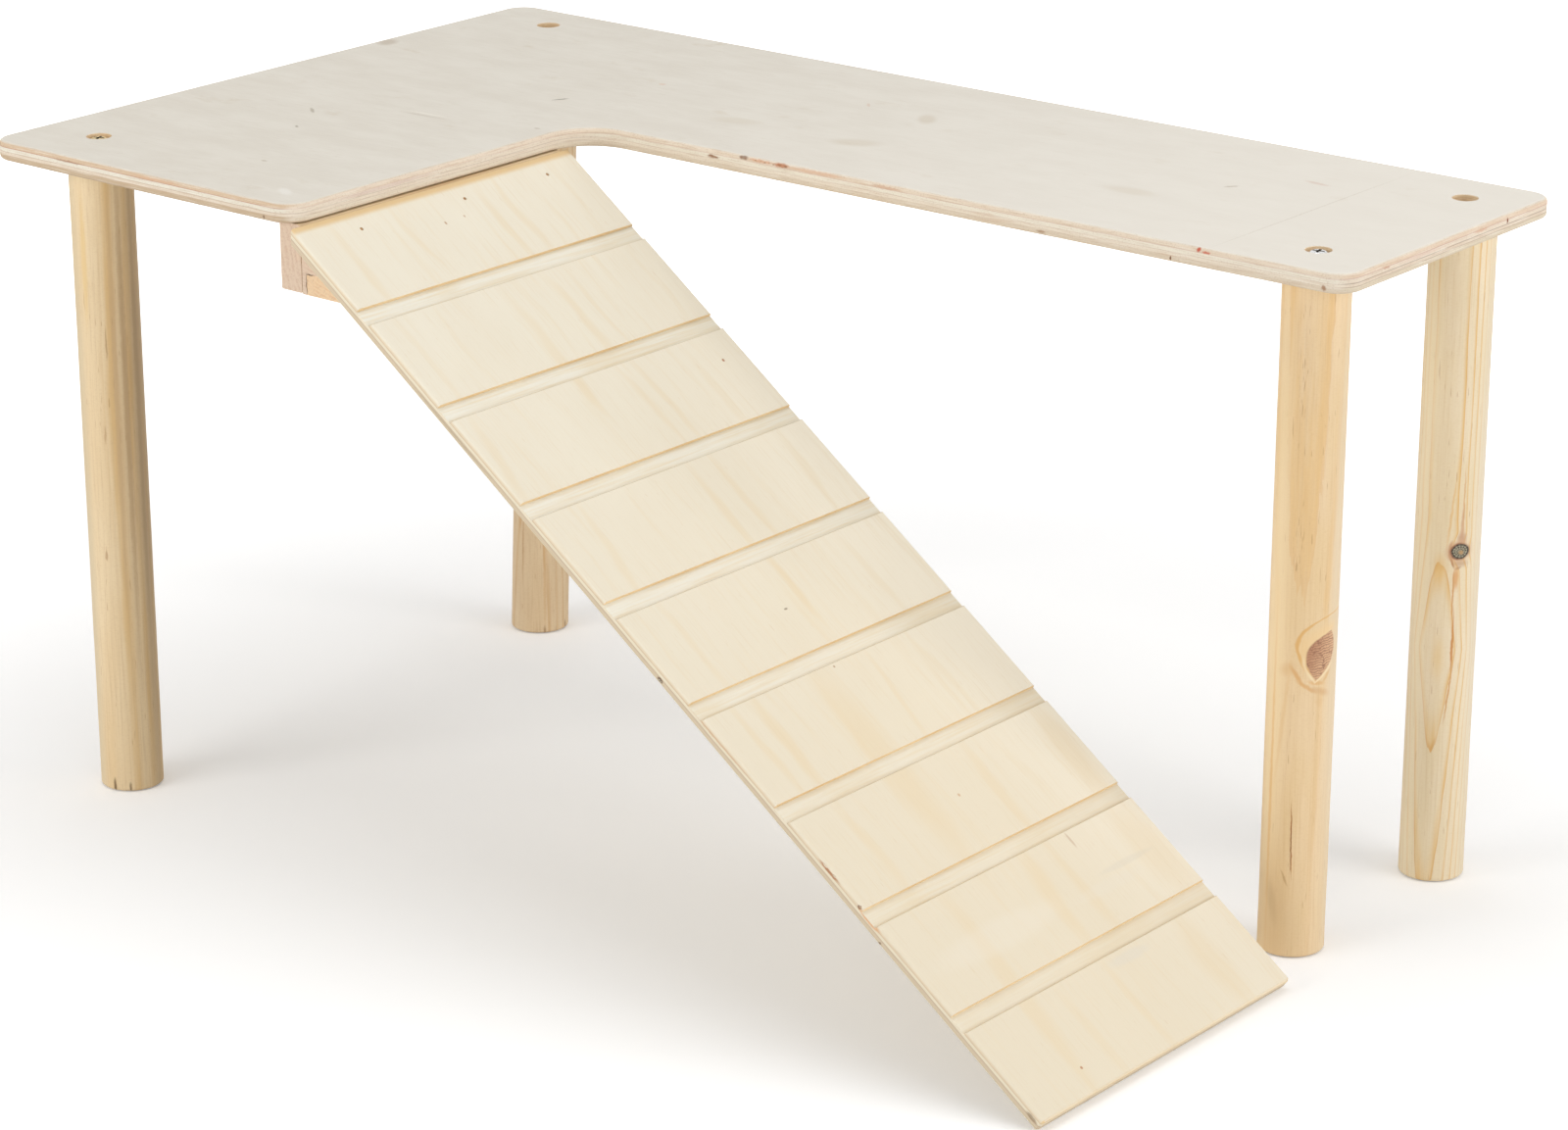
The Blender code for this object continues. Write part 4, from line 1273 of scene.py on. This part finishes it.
def make_camera():
    data = bpy.data.cameras.new("camera")
    data.sensor_width = SENSOR_WIDTH
    data.lens = FOCAL_LENGTH_PX * SENSOR_WIDTH / PHOTO_WIDTH
    data.shift_x = (PHOTO_WIDTH / 2 - AXIS_PX[0]) / PHOTO_WIDTH
    data.shift_y = (AXIS_PX[1] - PHOTO_HEIGHT / 2) / PHOTO_WIDTH
    camera = bpy.data.objects.new("camera", data)
    turn, dip = math.radians(CAMERA_AZIMUTH), math.radians(CAMERA_DIP)
    forward = Vector((-math.sin(turn) * math.cos(dip), math.cos(turn) * math.cos(dip), -math.sin(dip)))
    camera.location = CAMERA_PLACE
    camera.rotation_mode = "QUATERNION"
    camera.rotation_quaternion = forward.to_track_quat("-Z", "Y")
    bpy.context.collection.objects.link(camera)
    bpy.context.scene.camera = camera


# The knots: place on the leg, half width and half height in millimetres, lean, and how they push the rings
SLANTED_KNOT = dict(draw=draw_leaf_knot, at=31.8, face=0, height=0.142, wide=8.1, tall=11.6, tilt=-16.3,
                    spread=1.8, push=0.3)
DEAD_KNOT = dict(draw=draw_round_knot, at=15, face=12, height=0.1607, wide=4.1, tall=3.4, tilt=0,
                 spread=3.0, push=-0.5)

# Marks on the legs: degrees to the right of the camera, height in metres, half width and half height in
# millimetres, lean in degrees, colour, strength and softness. The wide bands down the legs' sides at 60 to 70
# degrees are painted light and shade.
LEG_MARKS_AND_PAINTED_LIGHT = {
    "front_left": (
        (-33, 0.265, 1.6, 26, 0, (232, 198, 134), 0.6, 0.6),
        (-26, 0.003, 0.8, 3.2, 0, (120, 92, 62), 0.8, 0.5),
        (4, 0.002, 0.5, 2.4, 0, (130, 100, 70), 0.7, 0.5),
        # Streaks that darken towards the right side: partly the wood's darker tone and partly painted shade.
        (34, 0.20, 1.4, 120, 0, (190, 156, 116), 0.55, 0.6),
        (62, 0.20, 1.6, 120, 0, (180, 146, 108), 0.6, 0.6),
        (16, 0.20, 1.2, 90, 0, (206, 172, 130), 0.5, 0.6),
        # Wide bands down the sides: on the left a greyer band, painted shade; on the right a darker band,
        # partly the wood's darker tone and partly painted shade.
        (-68, 0.15, 5, 190, 0, (212, 196, 164), 0.6, 0.7),
        (70, 0.15, 5, 190, 0, (182, 158, 126), 0.65, 0.7),
        (-18, 0.12, 0.6, 2.2, 0, (176, 132, 92), 0.6, 0.5),
        (2, 0.225, 0.4, 7.0, 0, (176, 136, 96), 0.6, 0.5),
        (-8, 0.18, 0.5, 4.0, 0, (182, 140, 98), 0.5, 0.5),
    ),
    "front_right": (
        # Wide bands down the sides: painted light and shade, lighter on the left, paler and greyer on the
        # right.
        (-62, 0.12, 6, 150, 0, (248, 226, 186), 0.6, 0.7),
        (66, 0.15, 6, 190, 0, (226, 210, 184), 0.55, 0.7),
        (-12.5, 0.056, 0.28, 17, 1.5, (170, 108, 54), 0.9, 0.3),
        (-56, 0.070, 0.8, 72, 0, (230, 184, 118), 0.6, 0.6),
        (-15, 0.1335, 1.0, 4.6, 34, (220, 168, 106), 0.75, 0.6),
        (2, 0.1283, 0.9, 4.4, 58, (222, 172, 112), 0.7, 0.6),
        (40, 0.1325, 0.7, 3.0, -36, (222, 178, 122), 0.6, 0.5),
        (20, 0.1300, 1.0, 3.4, 80, (224, 176, 116), 0.7, 0.6),
        (27, 0.1258, 1.4, 4.2, 70, (214, 168, 118), 0.6, 0.8),
        (26, 0.1215, 1.6, 2.6, 10, (224, 186, 136), 0.5, 0.8),
        (-30, 0.1360, 3.4, 2.4, 30, (222, 180, 126), 0.5, 0.9),
        # Painted light: a pale patch low on the left where the ramp's shadow falls.
        (-45, 0.018, 9, 26, 0, (244, 208, 156), 0.6, 0.9),
        (-44, 0.026, 2.2, 9, 10, (206, 172, 124), 0.3, 0.7),
        (-22, 0.038, 0.5, 3.4, 24, (190, 150, 102), 0.6, 0.6),
        (-36, 0.112, 1.0, 26, -6, (228, 190, 136), 0.4, 0.6),
        (24, 0.085, 0.9, 40, 0, (222, 188, 138), 0.4, 0.6),
    ),
    "back_right": (
        # Wide bands down the sides: painted light and shade, paler and greyer on the right, lighter on the
        # left.
        (66, 0.15, 6, 190, 0, (226, 213, 190), 0.65, 0.7),
        (-62, 0.15, 6, 190, 0, (246, 232, 200), 0.4, 0.7),
        (17, 0.1665, 2.0, 3.2, 0, (196, 150, 120), 0.75, 0.7),
        (17, 0.1740, 0.8, 7.0, 0, (206, 160, 126), 0.7, 0.6),
        (18, 0.1860, 0.35, 13, 0, (216, 164, 106), 0.7, 0.6),
        (16, 0.1550, 3.0, 1.5, 0, (188, 146, 114), 0.6, 0.8),
        (12, 0.1528, 1.4, 0.6, 20, (172, 126, 98), 0.6, 0.7),
        (0, 0.1565, 0.6, 3.4, 20, (184, 126, 76), 0.85, 0.5),
        (9, 0.1480, 1.2, 4.6, 0, (222, 168, 112), 0.85, 0.6),
        (-3, 0.1620, 0.7, 3.6, -8, (196, 138, 94), 0.7, 0.6),
        (5.5, 0.1400, 0.4, 12, 0, (208, 150, 88), 0.8, 0.5),
        (8.5, 0.1170, 0.5, 14, 0, (204, 138, 70), 0.9, 0.5),
        (6, 0.0930, 0.4, 12, -6, (212, 152, 86), 0.8, 0.5),
        (-15, 0.1100, 2.2, 8.0, 0, (234, 202, 144), 0.55, 0.9),
        (-3, 0.1800, 0.5, 16, -5, (230, 190, 130), 0.7, 0.6),
        (-19, 0.1535, 2.4, 4.5, 0, (232, 194, 130), 0.6, 0.9),
    ),
    "back_left": (
        (-39, 0.045, 0.6, 24, 0, (186, 136, 88), 0.65, 0.5),
        (-4, 0.030, 0.7, 30, 0, (212, 166, 112), 0.45, 0.6),
        (-5, 0.002, 0.8, 2.4, 0, (150, 108, 70), 0.7, 0.5),
        (38, 0.002, 0.8, 2.6, 0, (150, 108, 70), 0.6, 0.5),
    ),
}

# Dents at the knots: degrees, height, how wide in degrees, half height and depth
LEG_DENTS = {
    "front_left": (), "back_left": (),
    "front_right": ((30, 0.142, 26, 0.007, 0.00022), (30, 0.142, 42, 0.013, -0.00012)),
    "back_right": ((15, 0.1607, 12, 0.0036, 0.00030),),
}

# Drying cracks: degrees, low and high end, width, depth, and whether it is open at the foot
LEG_CRACKS = {
    "front_left": ((-26, -MM, 0.006, 0.00035, 0.0022, True), (4, -MM, 0.004, 0.00025, 0.0018, True),
                   (36, -MM, 0.004, 0.00025, 0.0018, True)),
    "front_right": ((-12.5, 0.039, 0.073, 0.00016, 0.0012, False),), "back_right": (),
    "back_left": ((-5, -MM, 0.004, 0.0003, 0.002, True), (38, -MM, 0.0045, 0.0003, 0.002, True)),
}


def make_legs():
    woods = {
        "front_left": dict(woods=((236, 213, 174), (232, 206, 164), (206, 175, 134)),
                           late=(226, 192, 138), profile=(0.30, 0.70, 0.80, 1.0),
                           rim=(214, 176, 122), rim_share=0.2),
        "front_right": dict(woods=((237, 210, 170), (233, 204, 158), (216, 180, 134)),
                            late=(232, 196, 142), profile=(0.0, 0.12, 0.20, 0.62),
                            rim=(222, 172, 108), rim_share=0.35, low_share=0.40, knots=(SLANTED_KNOT,),
                            dashes=((-22, 0.275, 3.4, 30, 0.7), (-20, 0.190, 3.2, 22, 0.45))),
        "back_right": dict(woods=((239, 222, 192), (235, 217, 182), (218, 192, 148)),
                           late=(232, 196, 136), profile=(0.0, 0.05, 0.08, 0.40),
                           rim=(220, 166, 96), rim_share=0.9, knots=(DEAD_KNOT,)),
        "back_left": dict(woods=((232, 208, 172), (226, 200, 162), (204, 170, 130)),
                          late=(214, 174, 124), profile=(0.50, 0.85, 0.88, 0.96),
                          rim=(204, 160, 110), rim_share=0.3),
    }
    for name in LEG_NAMES:
        look = pine_look(name, marks=LEG_MARKS_AND_PAINTED_LIGHT[name], **woods[name])
        hand_over(make_leg(name, look, LEG_DENTS[name], LEG_CRACKS[name]), "leg_" + name)


def make_fastenings():
    brass = steel_look("brassy_steel", (226, 204, 146), (176, 146, 92), 0.32)
    silver = steel_look("silver_steel", (232, 233, 234), (176, 174, 168), 0.26)
    # A dark steel for the screws' cross recesses: painted shade.
    recess_painted_shade = steel_look("recess_painted_shade_steel", (92, 86, 78), (60, 54, 48), 0.6)
    looks = {"front_left": brass, "front_right": silver, "back_left": brass, "back_right": silver}
    turns = {"front_left": 20, "front_right": 12, "back_left": 40, "back_right": 65}
    for name, look in looks.items():
        screw = make_screw("cross_head_screw_" + name, look=look, recess_painted_shade=recess_painted_shade, **LEG_SCREW)
        top = leg_top(name)
        settle(screw, about_z(turns[name]), (top.x, top.y, leg_screw_seat(name)))
        hand_over(screw, "leg_screw_" + name)
    for number in BATTEN_SCREWS:
        x, y, seat, point = batten_screw_place(number)
        screw = make_screw("batten_cross_head_screw_" + str(number), length=point - seat, look=brass,
                           recess_painted_shade=recess_painted_shade, **BATTEN_SCREW)
        settle(screw, (math.pi, 0.0, math.radians(25 * number)), (x, y, seat))
        hand_over(screw, "batten_screw_" + str(number))
    nail = steel_look("bare_steel", (186, 148, 104), (156, 118, 78), 0.6)
    for number in BRADS:
        hand_over(make_brad(number, nail), "ramp_brad_" + str(number))


bpy.context.scene.view_settings.view_transform = "Standard"
make_camera()
make_light()
make_floor()
hand_over(make_deck(deck_look()), "deck")
make_legs()
hand_over(make_ramp(ramp_look()), "ramp_board")
pink, pink_line = (222, 198, 174), (200, 166, 142)
batten_look = softwood_look("batten_softwood", pink, pink_line, (380, 90))
wedge_look = softwood_look("wedge_softwood", pink, pink_line, (150, 560), ((236, 206, 168), (218, 166, 118)))
hand_over(make_batten(batten_look), "deck_batten")
hand_over(make_wedge(wedge_look), "ramp_wedge")
make_fastenings()
